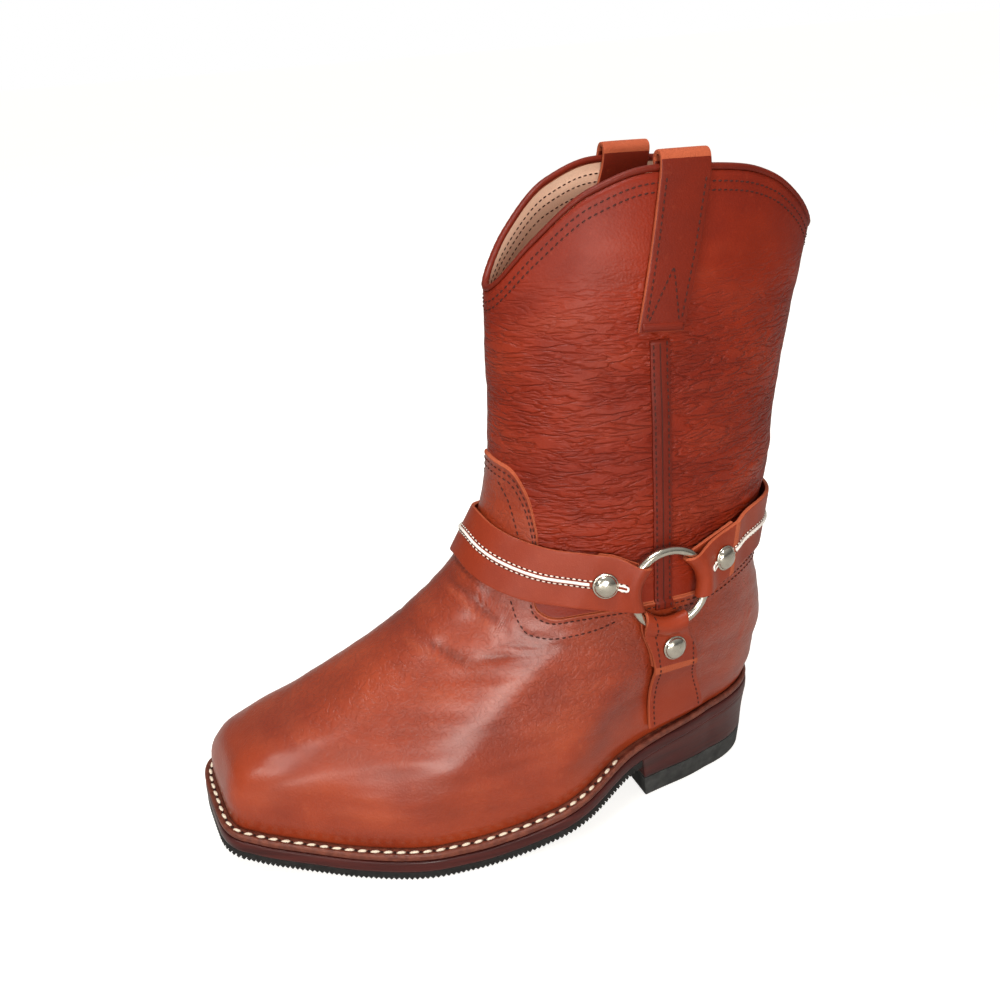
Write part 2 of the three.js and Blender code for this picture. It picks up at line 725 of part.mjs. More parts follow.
// Front or back strap: both ends folded round their rings, and the stretch between on the skin.
function buildRoundStrap(name) {
  const route = strapRoutes[name];
  const skinFrom = (side) => (distance, v, offset, wide) => {
    const spot = route.at(side === 1 ? distance : route.length - distance);
    const height = spot.t + (v * wide) / 2 / climb(spot.t, spot.s);
    return offsetSkin(height, spot.s, offset);
  };
  const ends = [1, -1].map((side) => {
    const skinAt = skinFrom(side);
    const { foot, up, out } = ringFrames[side];
    const way = skinAt(flatTo, 0, 0, 0).sub(foot);
    way.addScaledVector(out, -way.dot(out)).normalize();
    const across = up.clone().addScaledVector(way, -up.dot(way)).normalize();
    return strapEnd({ side, way, across, skinAt, underEnd: underLayer, width: strapWidth });
  });
  const middle = [];
  const from = underLayer + 2;
  const steps = Math.round((route.length - 2 * from) / rowSpacing);
  for (let i = 0; i <= steps; i += 1) {
    const distance = mix(from, route.length - from, i / steps);
    const spot = route.at(distance);
    const near = Math.min(distance, route.length - distance);
    const lift = frontLift * ease((near - underLayer - 4) / 16) * (name === 'front' ? 1 : 0);
    middle.push(skinRow(spot.t, spot.s, strapWidth, outerOffset(near, underLayer) + lift));
  }
  const grid = [...ends[0], ...middle, ...ends[1].reverse()];
  addPart(`harness_${name}_strap`, sheetSolid(grid, strapThickness), 'strapLeather');
  return grid;
}

// Piping down the middle of a strap's outer face, between its two rivets.
function buildPiping(name, grid) {
  const middle = (acrossStations.length - 1) / 2;
  const first = firstOuterRow + 3;
  const rows = [];
  for (let i = first; i < grid.length - first; i += 1) {
    const row = grid[i];
    const along = grid[i + 1][middle].clone().sub(grid[i - 1][middle]).normalize();
    const across = row[middle + 1].clone().sub(row[middle - 1]).normalize();
    let out = across.clone().cross(along).normalize();
    const spot = row[middle];
    if (out.dot(new THREE.Vector3(spot.x, spot.y, 0)) < 0) out = out.negate();
    const foot = strapThickness / 2 + gap;
    rows.push([-1, -0.5, 0.5, 1, 0].map((v, k) => {
      const heights = [0, pipingHeight, pipingHeight, 0, 0];
      return spot.clone().addScaledVector(across, (v * pipingWidth) / 2)
        .addScaledVector(out, foot + heights[k]);
    }));
  }
  addPart(`piping_${name}`, cappedTube(rows), 'piping');
}

// Lower strap, from the ring down to the welt.
const lowerFoot = 0.045;
const lowerShare = (t) => clamp01((ringHeight - t) / (ringHeight - lowerFoot));
const lowerLine = (t) => ringSeatAlong + lowerStrapLean * lowerShare(t);
const lowerWidth = (t) => mix(lowerStrapWidth, lowerFootWidth, ease(lowerShare(t) * 1.6 - 0.6));

function lowerRoute(side) {
  return measureRoute(Array.from({ length: routeSteps + 1 }, (_, i) => {
    const t = mix(ringHeight, lowerFoot, i / routeSteps);
    return { t, s: aroundAtY(t, lowerLine(t), side) };
  }));
}

function buildLowerStrap(side) {
  const route = lowerRoute(side);
  const skinAt = (distance, v, offset, wide) => {
    const { t } = route.at(distance);
    return offsetSkin(t, aroundAtY(t, lowerLine(t) - (v * wide) / 2, side), offset);
  };
  const rows = strapEnd({
    side,
    way: ringFrames[side].up.clone().negate(),
    across: ringFrames[side].fore,
    skinAt,
    underEnd: lowerUnderLayer,
    width: lowerStrapWidth,
  });
  const from = lowerUnderLayer + 2;
  const steps = Math.round((route.length - from) / rowSpacing);
  for (let i = 0; i <= steps; i += 1) {
    const distance = mix(from, route.length, i / steps);
    const offset = outerOffset(distance, lowerUnderLayer);
    const spot = route.at(distance);
    const own = acrossStations.map((v) => skinAt(distance, v, offset, lowerWidth(spot.t)));
    rows.push(bridgeRow(own, skinNormal(spot.t, spot.s)));
  }
  addPart(`harness_lower_strap_${sideNames[side]}`, sheetSolid(rows, strapThickness),
    'strapLeather');
  return rows;
}

// Point of a strap's grid at a distance from the ring, within its doubled stretch. row is the
// first row of the stretch and step the way through the grid, 1 or -1.
function strapSpot(grid, row, step, distance, underEnd, v) {
  const stations = doubledStations(underEnd);
  const k = distance < stations[1] ? 0 : 1;
  const share = (distance - stations[k]) / (stations[k + 1] - stations[k]);
  const column = ((v + 1) / 2) * (acrossStations.length - 1);
  const j = Math.min(acrossStations.length - 2, Math.floor(column));
  const along = (c) => {
    const from = grid[row + k * step][c];
    return from.clone().lerp(grid[row + (k + 1) * step][c], share);
  };
  return along(j).lerp(along(j + 1), column - j);
}

// Domed rivet cap, seated on the highest place of the strap's outer face below it.
function buildRivet(name, grid, row, step, distance, underEnd, width) {
  const spotAt = (d, v) => strapSpot(grid, row, step, d, underEnd, v);
  const spot = spotAt(distance, 0);
  const along = spotAt(distance + 3, 0).sub(spotAt(distance - 3, 0)).normalize();
  const across = spotAt(distance, 0.4).sub(spotAt(distance, -0.4)).normalize();
  let out = across.clone().cross(along).normalize();
  if (out.x * spot.x < 0) out = out.negate();
  let highest = 0;
  for (let turn = 0; turn < 12; turn += 1) {
    const angle = (Math.PI * turn) / 6;
    const d = Math.max(layerFlat - 2, distance + rivetRadius * Math.cos(angle));
    const edge = spotAt(d, (2 * rivetRadius * Math.sin(angle)) / width);
    highest = Math.max(highest, edge.sub(spot).dot(out));
  }
  const sphere = (rivetRadius ** 2 + rivetDome ** 2) / (2 * rivetDome);
  const profile = [new THREE.Vector2(0, 0), new THREE.Vector2(rivetRadius, 0)];
  for (let k = 0; k <= capSteps; k += 1) {
    const r = rivetRadius * Math.cos((Math.PI * k) / 2 / capSteps);
    const h = Math.sqrt(sphere ** 2 - r ** 2) - (sphere - rivetDome);
    profile.push(new THREE.Vector2(k === capSteps ? 0 : r, h + rivetRim));
  }
  const cap = new THREE.LatheGeometry(profile, 12);
  cap.deleteAttribute('normal');
  cap.deleteAttribute('uv');
  const turn = new THREE.Quaternion().setFromUnitVectors(new THREE.Vector3(0, 1, 0), out);
  const seatAt = spot.addScaledVector(out, strapThickness / 2 + highest + gap);
  const place = new THREE.Matrix4().compose(seatAt, turn, new THREE.Vector3(1, 1, 1));
  const merged = dropFlatTriangles(mergeVertices(cap.applyMatrix4(place), 1e-4));
  addPart(name, faceOut(merged), 'nickel');
}

// Rolled bead on the collar's edge.
function collarUp(s) {
  return skin(1, s).sub(skin(0.97, s)).normalize();
}

function collarEdge(s) {
  return offsetSkin(1, s, -wall / 2);
}

function buildBead() {
  const around = aroundStations();
  const sides = 6;
  const rows = around.map((s) => {
    const up = collarUp(s);
    const out = skinNormal(1, s);
    const centre = collarEdge(s).addScaledVector(up, beadRadius + gap);
    return Array.from({ length: sides }, (_, k) => {
      const angle = (2 * Math.PI * k) / sides;
      return centre.clone().addScaledVector(out, beadRadius * Math.cos(angle))
        .addScaledVector(up, beadRadius * Math.sin(angle));
    });
  });
  addPart('topline_bead', ringTube(rows), 'upperLeather');
}

// Pull strap: outer leg stitched down the side, a loop over the collar and an inner leg.
const pullFootHeight = 0.856;
const pullLean = { foot: -13, top: 3 };

function buildPullStrap(side) {
  const outerSeat = beadRadius - wall / 2 + gap + pullThickness / 2;
  const innerSeat = -(wall / 2 + beadRadius + gap + pullThickness / 2);
  const loopRadius = (outerSeat - innerSeat) / 2;
  const across = [-1, -0.33, 0.33, 1];
  const legPoint = (t, v, offset) => {
    const k = clamp01((t - pullFootHeight) / (1 - pullFootHeight));
    const wide = mix(pullFoot, pullWidth, k);
    const y = mix(pullLean.foot, pullLean.top, k) - (v * wide) / 2;
    return offsetSkin(t, aroundAtY(t, y, side), offset);
  };
  const rows = [];
  const legSteps = 5;
  for (let i = 0; i <= legSteps; i += 1) {
    const t = mix(pullFootHeight, 1, i / legSteps);
    rows.push(across.map((v) => legPoint(t, v, outerSeat)));
  }
  const s = aroundAtY(1, pullLean.top, side);
  const up = collarUp(s);
  const out = skinNormal(1, s);
  const loopSteps = 6;
  const centreSeat = (outerSeat + innerSeat) / 2;
  const topline = Math.max(...across.map((v) => legPoint(1, v, centreSeat).dot(up)));
  for (let k = 0; k <= loopSteps; k += 1) {
    const angle = (Math.PI * k) / loopSteps;
    rows.push(across.map((v) => {
      const base = legPoint(1, v, centreSeat);
      const rise = topline - base.dot(up) + pullLoop - loopRadius;
      return base.addScaledVector(up, rise + loopRadius * Math.sin(angle))
        .addScaledVector(out, loopRadius * Math.cos(angle));
    }));
  }
  const inside = 1 - pullInside / climb(1, s);
  const insideSteps = 3;
  for (let i = 0; i <= insideSteps; i += 1) {
    const t = mix(1, inside, i / insideSteps);
    rows.push(across.map((v) => legPoint(t, v, innerSeat)));
  }
  addPart(`pull_strap_${sideNames[side]}`, sheetSolid(rows, pullThickness), 'strapLeather');
}

// Tape over the side seam, from under the pull strap down to the harness ring.
const tapeFootHeight = 0.492;

function buildTape(side) {
  const rows = [];
  const steps = 11;
  const top = pullFootHeight - 0.008;
  for (let i = 0; i <= steps; i += 1) {
    const t = mix(tapeFootHeight, top, i / steps);
    const y = mix(ringSeatAlong, pullLean.foot, i / steps);
    rows.push([-1, 1].map((v) => {
      const s = aroundAtY(t, y - (v * tapeWidth) / 2, side);
      return offsetSkin(t, s, gap + tapeThickness / 2);
    }));
  }
  addPart(`tape_${sideNames[side]}`, sheetSolid(rows, tapeThickness), 'upperLeather');
}

function buildHarness() {
  buildRings();
  ['front', 'back'].forEach((name) => {
    const grid = buildRoundStrap(name);
    buildPiping(name, grid);
    const last = grid.length - 1 - firstOuterRow;
    const seatOf = [rivetDistance, underLayer, strapWidth];
    buildRivet(`rivet_${name}_outer`, grid, firstOuterRow, 1, ...seatOf);
    buildRivet(`rivet_${name}_inner`, grid, last, -1, ...seatOf);
  });
  [1, -1].forEach((side) => {
    const rows = buildLowerStrap(side);
    buildRivet(`rivet_lower_${sideNames[side]}`, rows, firstOuterRow, 1, lowerRivetDistance,
      lowerUnderLayer, lowerStrapWidth);
  });
}

buildUpper();
buildSole();
buildHeel();
buildBead();
buildHarness();
[1, -1].forEach((side) => {
  buildPullStrap(side);
  buildTape(side);
});

export default boot;
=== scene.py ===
"""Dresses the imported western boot: leather, harness, stitches, sole, light and camera."""
import logging
import math
from dataclasses import dataclass, field
from enum import Enum
from typing import Callable, Optional, Sequence

import bmesh
import bpy
import numpy as np
from mathutils import Matrix, Vector, noise
from mathutils.bvhtree import BVHTree


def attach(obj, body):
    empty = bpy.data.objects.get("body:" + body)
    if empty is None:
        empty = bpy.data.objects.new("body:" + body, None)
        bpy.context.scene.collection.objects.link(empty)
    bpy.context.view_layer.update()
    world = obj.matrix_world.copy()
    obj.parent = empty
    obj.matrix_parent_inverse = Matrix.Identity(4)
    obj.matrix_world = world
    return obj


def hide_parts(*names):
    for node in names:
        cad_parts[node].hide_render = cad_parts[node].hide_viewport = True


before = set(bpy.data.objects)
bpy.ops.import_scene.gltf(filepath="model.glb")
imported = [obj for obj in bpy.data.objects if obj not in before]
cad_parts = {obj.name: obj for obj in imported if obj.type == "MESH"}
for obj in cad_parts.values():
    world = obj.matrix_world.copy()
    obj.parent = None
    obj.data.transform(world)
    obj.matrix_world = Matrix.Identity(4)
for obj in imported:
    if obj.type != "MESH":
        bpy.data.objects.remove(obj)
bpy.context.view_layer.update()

logging.basicConfig(level=logging.INFO, format="%(name)s: %(message)s")
LOG = logging.getLogger("boot")
MM = 0.001
BODY = "root"


class Side(Enum):
    """Side of the foot, outer towards +X."""

    OUTER = 1
    INNER = -1

    @property
    def label(self) -> str:
        """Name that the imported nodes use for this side."""
        return self.name.lower()


@dataclass(frozen=True)
class Sizes:
    """Named sizes of the boot, in millimetres."""

    foot_length: float = 270.0
    ball_width: float = 97.0
    shaft_height: float = 222.0
    ankle_width: float = 83.0
    collar_rise: float = 44.0
    heel_line: float = 50.0
    wall: float = 2.2
    vamp_step: float = 1.2
    gap: float = 0.3
    tread: float = 3.8
    midsole: float = 5.2
    welt: float = 3.0
    lift: float = 11.0
    heel_rise: float = 28.5
    toe_spring: float = 11.0
    breast_line: float = -24.0
    heel_taper: float = 0.10
    heel_centre: float = 14.0
    welt_reach: float = 6.6
    heel_reach: float = 3.4
    strap_width: float = 26.5
    ring_radius: float = 18.5
    ring_wire: float = 2.0
    ring_height: float = 0.516
    ring_along: float = -13.5
    ring_seat: float = 6.1
    bead: float = 1.7
    tape_width: float = 9.0
    lower_foot: float = 0.045
    lower_lean: float = 9.0


SIZE = Sizes()


class SmoothCurve:
    """Cubic curve through stations that never overshoots them."""

    def __init__(self, stations: Sequence[float], values: Sequence[float]) -> None:
        """Args: stations: rising places; values: value at each."""
        self.x = np.asarray(stations, float)
        self.y = np.asarray(values, float)
        self.steps = np.diff(self.x)
        slopes = np.diff(self.y) / self.steps
        self.tangents = np.zeros_like(self.y)
        self.tangents[0], self.tangents[-1] = slopes[0], slopes[-1]
        for i in range(1, len(self.x) - 1):
            before, after = slopes[i - 1], slopes[i]
            if before * after > 0:
                a = 2 * self.steps[i] + self.steps[i - 1]
                b = self.steps[i] + 2 * self.steps[i - 1]
                self.tangents[i] = (a + b) / (a / before + b / after)

    def __call__(self, x: np.ndarray) -> np.ndarray:
        """Args: x: places. Returns: the curve's values there."""
        x = np.clip(np.asarray(x, float), self.x[0], self.x[-1])
        i = np.clip(np.searchsorted(self.x, x) - 1, 0, len(self.steps) - 1)
        h = self.steps[i]
        k = (x - self.x[i]) / h
        k2, k3 = k * k, k * k * k
        return ((2 * k3 - 3 * k2 + 1) * self.y[i] + (k3 - 2 * k2 + k) * h * self.tangents[i]
                + (3 * k2 - 2 * k3) * self.y[i + 1] + (k3 - k2) * h * self.tangents[i + 1])


def ease(x: np.ndarray) -> np.ndarray:
    """Returns: a soft step from 0 to 1 over x from 0 to 1."""
    k = np.clip(x, 0, 1)
    return k * k * (3 - 2 * k)


def mix(a: np.ndarray, b: np.ndarray, k: np.ndarray) -> np.ndarray:
    """Returns: the value a share k of the way from a to b."""
    return a + (b - a) * k


def unit(v: np.ndarray) -> np.ndarray:
    """Returns: v with every row at length one."""
    return v / np.maximum(np.linalg.norm(v, axis=-1, keepdims=True), 1e-12)


UNDERSIDE_ROWS = [(-.06, 1.03, 0), (0, 1, 0), (.11, .92, 0), (.2, .82, 0), (.275, .7, 0),
                  (.41, .33, 0), (.54, .06, 0), (.61, 0, 0), (.8, 0, 0), (.92, 0, .3),
                  (1, 0, .65), (1.08, 0, 1.1)]
UNDERSIDE = SmoothCurve([r[0] for r in UNDERSIDE_ROWS],
                        [r[1] * SIZE.heel_rise + r[2] * SIZE.toe_spring for r in UNDERSIDE_ROWS])


def underside(y: np.ndarray) -> np.ndarray:
    """Returns: height of the sole's underside at y."""
    return UNDERSIDE((SIZE.heel_line - np.asarray(y, float)) / SIZE.foot_length)


def midsole_bottom(y: np.ndarray) -> np.ndarray:
    """Returns: height of the midsole's underside at y."""
    return underside(y) + SIZE.tread + SIZE.gap


def welt_bottom(y: np.ndarray) -> np.ndarray:
    """Returns: height of the welt's underside at y."""
    return midsole_bottom(y) + SIZE.midsole + SIZE.gap


def seat(y: np.ndarray) -> np.ndarray:
    """Returns: height on which the upper stands at y."""
    return welt_bottom(y) + SIZE.welt + SIZE.gap


RING_COLUMNS = ("t back backUp front frontUp heel waistOut waistIn archOut archIn ballOut ballIn "
                "foreOut foreIn tipOut tipIn rear nose power follow slant scallop").split()
RING_ROWS = [
    (0, 0, 0, 1, 0, .31, .395, .30, .545, .32, .535, .43, .315, .44, .21, .41, .20, .08, 4, 1, .10, 0),
    (.05, .008, .022, 1.004, .050, .32, .405, .31, .555, .33, .55, .445, .33, .45, .23, .42, .20, .09,
     3.8, 1, .10, 0),
    (.10, .014, .045, .990, .108, .33, .405, .325, .55, .35, .545, .45, .335, .44, .25, .41, .20, .13,
     3.3, .9, .09, 0),
    (.16, .018, .070, .950, .152, .335, .40, .34, .525, .37, .53, .44, .35, .41, .28, .39, .21, .19,
     2.9, .75, .07, 0),
    (.23, .022, .100, .865, .205, .345, .405, .36, .50, .385, .49, .42, .37, .38, .34, .37, .23, .28,
     2.7, .55, .04, 0),
    (.31, .028, .140, .758, .273, .36, .415, .38, .47, .40, .45, .405, .37, .36, .36, .36, .26, .36,
     2.5, .35, .02, 0),
    (.39, .026, .185, .655, .352, .38, .43, .40, .45, .41, .425, .395, .37, .36, .37, .36, .30, .42,
     2.3, .2, 0, 0),
    (.46, .021, .235, .575, .430, .39, .43, .41, .435, .41, .415, .40, .38, .37, .38, .37, .35, .46,
     2.2, .1, 0, 0),
    (.52, .012, .290, .525, .500, .40, .425, .41, .43, .415, .42, .41, .40, .39, .40, .39, .40, .48,
     2.1, 0, 0, 0),
    (.58, .017, .365, .495, .578, .41, .42, .41, .425, .415, .42, .415, .41, .41, .41, .41, .45, .5,
     2, 0, 0, 0),
    (.67, .037, .490, .479, .682, .415, .42, .415, .42, .415, .42, .415, .42, .415, .42, .415, .5, .5,
     2, 0, 0, .05),
    (.80, .057, .690, .475, .825, *[.40] * 11, .5, .5, 2, 0, 0, .25),
    (.91, .088, .860, .475, .960, *[.365] * 11, .5, .5, 2, 0, 0, .62),
    (1, .117, 1, .475, 1.05, *[.30] * 11, .5, .5, 2, 0, 0, 1),
]
ARCH_ROWS = [(0, 0), (.09, .38), (.2, .69), (.3, .84), (.45, .94), (.6, 1), (.75, .87), (.9, .45),
             (1, 0)]
EDGE_ROWS = [(0, .57), (.25, .53), (.4, .49), (.5, .475), (.6, .46), (.65, .452), (.695, .445),
             (.74, .455), (.78, .49), (.82, .575), (.865, .64), (.92, .68), (1, .69)]
WIDTH_STATIONS = [.12, .3, .46, .66, .88, .97]
WIDTHS = {Side.OUTER: ("heel", "waistOut", "archOut", "ballOut", "foreOut", "tipOut"),
          Side.INNER: ("heel", "waistIn", "archIn", "ballIn", "foreIn", "tipIn")}


class Skin:
    """Surface of the last and shaft: t from feather line to collar, s round from back centre."""

    rows = 320
    half = 400
    samples = 96
    step = 0.02

    def __init__(self) -> None:
        """Builds the grid of points that every later place is read from."""
        stations = [row[0] for row in RING_ROWS]
        self.curves = {name: SmoothCurve(stations, [row[i] for row in RING_ROWS])
                       for i, name in enumerate(RING_COLUMNS)}
        self.arch = SmoothCurve(*zip(*ARCH_ROWS))
        self.edge_curve = SmoothCurve(*zip(*EDGE_ROWS))
        grid = np.zeros((self.rows + 1, 2 * self.half + 1, 3))
        share = np.linspace(0, 1, self.half + 1)
        for i in range(self.rows + 1):
            for side in Side:
                points, reach = self._ring(i / self.rows, side)
                line = np.stack([np.interp(share * reach[-1], reach, points[:, c])
                                 for c in range(3)], 1)
                if side is Side.OUTER:
                    grid[i, self.half:] = line
                else:
                    grid[i, :self.half + 1] = line[::-1]
        self.grid = grid

    def _ring(self, t: float, side: Side) -> tuple[np.ndarray, np.ndarray]:
        """Args: t: height; side: side. Returns: points from back to front and their reach."""
        at = {name: float(curve(t)) for name, curve in self.curves.items()}
        y_back = SIZE.heel_line + at["back"] * SIZE.foot_length
        y_front = SIZE.heel_line - at["front"] * SIZE.foot_length
        z_back = seat(SIZE.heel_line) + at["backUp"] * SIZE.shaft_height
        z_front = seat(SIZE.heel_line - SIZE.foot_length) + at["frontUp"] * SIZE.shaft_height
        wide = mix(SIZE.ball_width, SIZE.ankle_width * 1.17, ease((t - .46) / .21))
        widths = SmoothCurve(WIDTH_STATIONS, [at[name] * wide for name in WIDTHS[side]])
        u = (1 - np.cos(np.pi * np.arange(self.samples + 1) / self.samples)) / 2

        def cap(d: np.ndarray, length: float, power: float) -> np.ndarray:
            k = np.clip(1 - d / length, 0, 1)
            return np.maximum(0, 1 - k ** power) ** (1 / power)

        x = side.value * widths(u) * cap(u, at["rear"], 2.1) * cap(1 - u, at["nose"], at["power"])
        y = mix(y_back, y_front, u) + at["slant"] * x * u ** 4
        sag = at["follow"] * (seat(y) - mix(seat(y_back), seat(y_front), u))
        z = mix(z_back, z_front, u) + sag + at["scallop"] * SIZE.collar_rise * self.arch(u)
        points = np.stack([x, y, z], 1)
        reach = np.concatenate([[0], np.cumsum(np.linalg.norm(np.diff(points, axis=0), axis=1))])
        return points, reach

    def at(self, t: np.ndarray, s: np.ndarray) -> np.ndarray:
        """Args: t: heights; s: ways round. Returns: points of the surface."""
        t, s = np.broadcast_arrays(np.clip(np.asarray(t, float), 0, 1), np.asarray(s, float))
        row = t * self.rows
        col = (np.mod(s + 1, 2)) * self.half
        i = np.minimum(row.astype(int), self.rows - 1)
        j = np.minimum(col.astype(int), 2 * self.half - 1)
        a, b = (row - i)[..., None], (col - j)[..., None]
        g = self.grid
        return ((g[i, j] * (1 - b) + g[i, j + 1] * b) * (1 - a)
                + (g[i + 1, j] * (1 - b) + g[i + 1, j + 1] * b) * a)

    def normal(self, t: np.ndarray, s: np.ndarray) -> np.ndarray:
        """Args: t: heights; s: ways round. Returns: outward directions of the surface."""
        t = np.asarray(t, float)
        up = self.at(np.minimum(1, t + self.step), s) - self.at(np.maximum(0, t - self.step), s)
        along = self.at(t, s + self.step) - self.at(t, s - self.step)
        return unit(np.cross(up, along))

    def offset(self, t: np.ndarray, s: np.ndarray, d: np.ndarray) -> np.ndarray:
        """Returns: points at a distance d outside the surface."""
        return self.at(t, s) + self.normal(t, s) * np.asarray(d, float)[..., None]

    def climb(self, t: np.ndarray, s: np.ndarray) -> np.ndarray:
        """Returns: way up the surface for one whole unit of t."""
        high, low = np.minimum(1, t + self.step), np.maximum(0, t - self.step)
        return np.linalg.norm(self.at(high, s) - self.at(low, s), axis=-1) / (high - low)

    def edge(self, s: np.ndarray) -> np.ndarray:
        """Returns: height of the top edge of vamp and counter."""
        return self.edge_curve(np.abs(s))

    def around(self, t: np.ndarray, y: np.ndarray, side: Side) -> np.ndarray:
        """Returns: way round at which the surface passes y on a side."""
        t, y = np.broadcast_arrays(np.asarray(t, float), np.asarray(y, float))
        low, high = np.zeros(t.shape), np.ones(t.shape)
        for _ in range(30):
            middle = (low + high) / 2
            over = self.at(t, side.value * middle)[..., 1] > y
            low, high = np.where(over, middle, low), np.where(over, high, middle)
        return side.value * low

    def outline(self, s: np.ndarray, grow: np.ndarray) -> np.ndarray:
        """Returns: points of the feather line grown outwards in plan."""
        along = self.at(0.0, s + self.step) - self.at(0.0, s - self.step)
        out = unit(np.stack([-along[..., 1], along[..., 0], 0 * along[..., 0]], -1))
        return self.at(0.0, s) + out * np.asarray(grow, float)[..., None]

    @staticmethod
    def reach(s: np.ndarray) -> np.ndarray:
        """Returns: how far the sole stands out beyond the feather line."""
        return mix(SIZE.heel_reach, SIZE.welt_reach, ease((np.abs(s) - .12) / .3))


SKIN = Skin()
RING_AROUND = float(SKIN.around(SIZE.ring_height, SIZE.ring_along, Side.OUTER))
STRAP_LINES = {"front": SmoothCurve([RING_AROUND, .62, .75, .88, 1], [.516, .519, .516, .525, .542]),
               "back": SmoothCurve([0, .2, .35, RING_AROUND], [.605, .592, .557, .516])}


# ---------------------------------------------------------------- materials


class Graph:
    """Small helper that adds and links nodes in one tree."""

    def __init__(self, tree: bpy.types.NodeTree) -> None:
        """Args: tree: the tree to fill."""
        self.tree = tree

    def node(self, kind: str, props: Optional[dict] = None, **inputs: object) -> bpy.types.Node:
        """Args: kind: node type; props: settings; inputs: sockets. Returns: the node."""
        made = self.tree.nodes.new(kind)
        for key, value in (props or {}).items():
            setattr(made, key, value)
        for key, value in inputs.items():
            self.feed(made.inputs[key.replace("_", " ")], value)
        return made

    def feed(self, socket: bpy.types.NodeSocket, value: object) -> None:
        """Links value to socket where it is a socket, and sets it otherwise."""
        if isinstance(value, bpy.types.NodeSocket):
            self.tree.links.new(value, socket)
        else:
            socket.default_value = value

    def math(self, op: str, a: object, b: object = 0.0) -> bpy.types.NodeSocket:
        """Returns: the result of one sum on a and b."""
        made = self.node("ShaderNodeMath", {"operation": op})
        self.feed(made.inputs[0], a)
        self.feed(made.inputs[1], b)
        return made.outputs[0]

    def blend(self, factor: object, a: object, b: object) -> bpy.types.NodeSocket:
        """Returns: colour a turned towards colour b by factor."""
        made = self.node("ShaderNodeMix", {"data_type": "RGBA"})
        for index, value in ((0, factor), (6, a), (7, b)):
            self.feed(made.inputs[index], value)
        return made.outputs[2]

    def ramp(self, value: object, low: float, high: float, to: tuple = (0.0, 1.0)) -> object:
        """Returns: value moved from the stretch low to high onto the stretch to."""
        made = self.node("ShaderNodeMapRange", None, Value=value, From_Min=low, From_Max=high,
                         To_Min=to[0], To_Max=to[1])
        return made.outputs[0]


def new_group(name: str, inputs: dict[str, float], outputs: Sequence[str]) -> tuple:
    """Args: name, inputs, outputs: of the group. Returns: tree, graph, input and output node."""
    tree = bpy.data.node_groups.new(name, "ShaderNodeTree")
    for key, value in inputs.items():
        socket = tree.interface.new_socket(key, in_out="INPUT", socket_type="NodeSocketFloat")
        socket.default_value = value
    for key in outputs:
        tree.interface.new_socket(key, in_out="OUTPUT", socket_type="NodeSocketFloat")
    graph = Graph(tree)
    return tree, graph, graph.node("NodeGroupInput"), graph.node("NodeGroupOutput")


def hide_grain_group() -> bpy.types.NodeTree:
    """Returns: group for the pebbles, wrinkles and mottle of a hide."""
    tree, g, inside, out = new_group(
        "hide_grain", {"Pebble": 900.0, "Wrinkle": 170.0, "Flat": 4.0, "Mottle": 22.0},
        ("Pebbles", "Wrinkles", "Tone", "Specks"))
    place = g.node("ShaderNodeTexCoord").outputs["Object"]
    cells = g.node("ShaderNodeTexVoronoi", {"feature": "SMOOTH_F1"}, Vector=place,
                   Scale=inside.outputs["Pebble"], Smoothness=.4)
    fine = g.node("ShaderNodeTexNoise", None, Vector=place, Scale=inside.outputs["Pebble"],
                  Detail=3.0)
    g.feed(out.inputs["Pebbles"], g.math("ADD", cells.outputs["Distance"],
                                         g.math("MULTIPLY", fine.outputs["Fac"], .7)))
    stretch = g.node("ShaderNodeCombineXYZ", None, X=1.0, Y=1.0, Z=inside.outputs["Flat"])
    flat = g.node("ShaderNodeVectorMath", {"operation": "MULTIPLY"})
    g.feed(flat.inputs[0], place)
    g.feed(flat.inputs[1], stretch.outputs[0])
    folds = g.node("ShaderNodeTexNoise", None, Vector=flat.outputs[0],
                   Scale=inside.outputs["Wrinkle"], Detail=2.0, Roughness=.5, Distortion=.35)
    ridged = g.math("ABSOLUTE", g.math("SUBTRACT", folds.outputs["Fac"], .5))
    g.feed(out.inputs["Wrinkles"], g.ramp(ridged, 0.0, .11))
    tone = g.node("ShaderNodeTexNoise", None, Vector=place, Scale=inside.outputs["Mottle"],
                  Detail=5.0, Roughness=.6)
    g.feed(out.inputs["Tone"], g.ramp(tone.outputs["Fac"], .3, .7))
    specks = g.node("ShaderNodeTexNoise", None, Vector=place, Scale=260.0, Detail=4.0)
    g.feed(out.inputs["Specks"], g.ramp(specks.outputs["Fac"], .62, .75))
    return tree


def crease_shade_group() -> bpy.types.NodeTree:
    """Returns: group that reads the creases on a piece as painted shade in troughs and painted highlight
    on ridges.
    """
    tree, g, inside, out = new_group("crease_shade_and_highlight", {"Strength": 1.0}, ("Dark", "Light"))
    mark = g.node("ShaderNodeAttribute", {"attribute_name": "relief"}).outputs["Fac"]
    g.feed(out.inputs["Dark"], g.math("MULTIPLY", g.ramp(mark, 0.0, -1.0),
                                      inside.outputs["Strength"]))
    g.feed(out.inputs["Light"], g.math("MULTIPLY", g.ramp(mark, 0.0, 1.0),
                                       inside.outputs["Strength"]))
    return tree


GRAIN = hide_grain_group()
CREASES = crease_shade_group()


def start_material(name: str) -> tuple[bpy.types.Material, Graph, bpy.types.Node]:
    """Args: name: of the material. Returns: it, its graph and its shader."""
    material = bpy.data.materials.new(name)
    material.use_nodes = True
    shader = material.node_tree.nodes["Principled BSDF"]
    return material, Graph(material.node_tree), shader


def rgba(colour: Sequence[float]) -> tuple:
    """Returns: the colour with full cover."""
    return (*colour, 1.0)


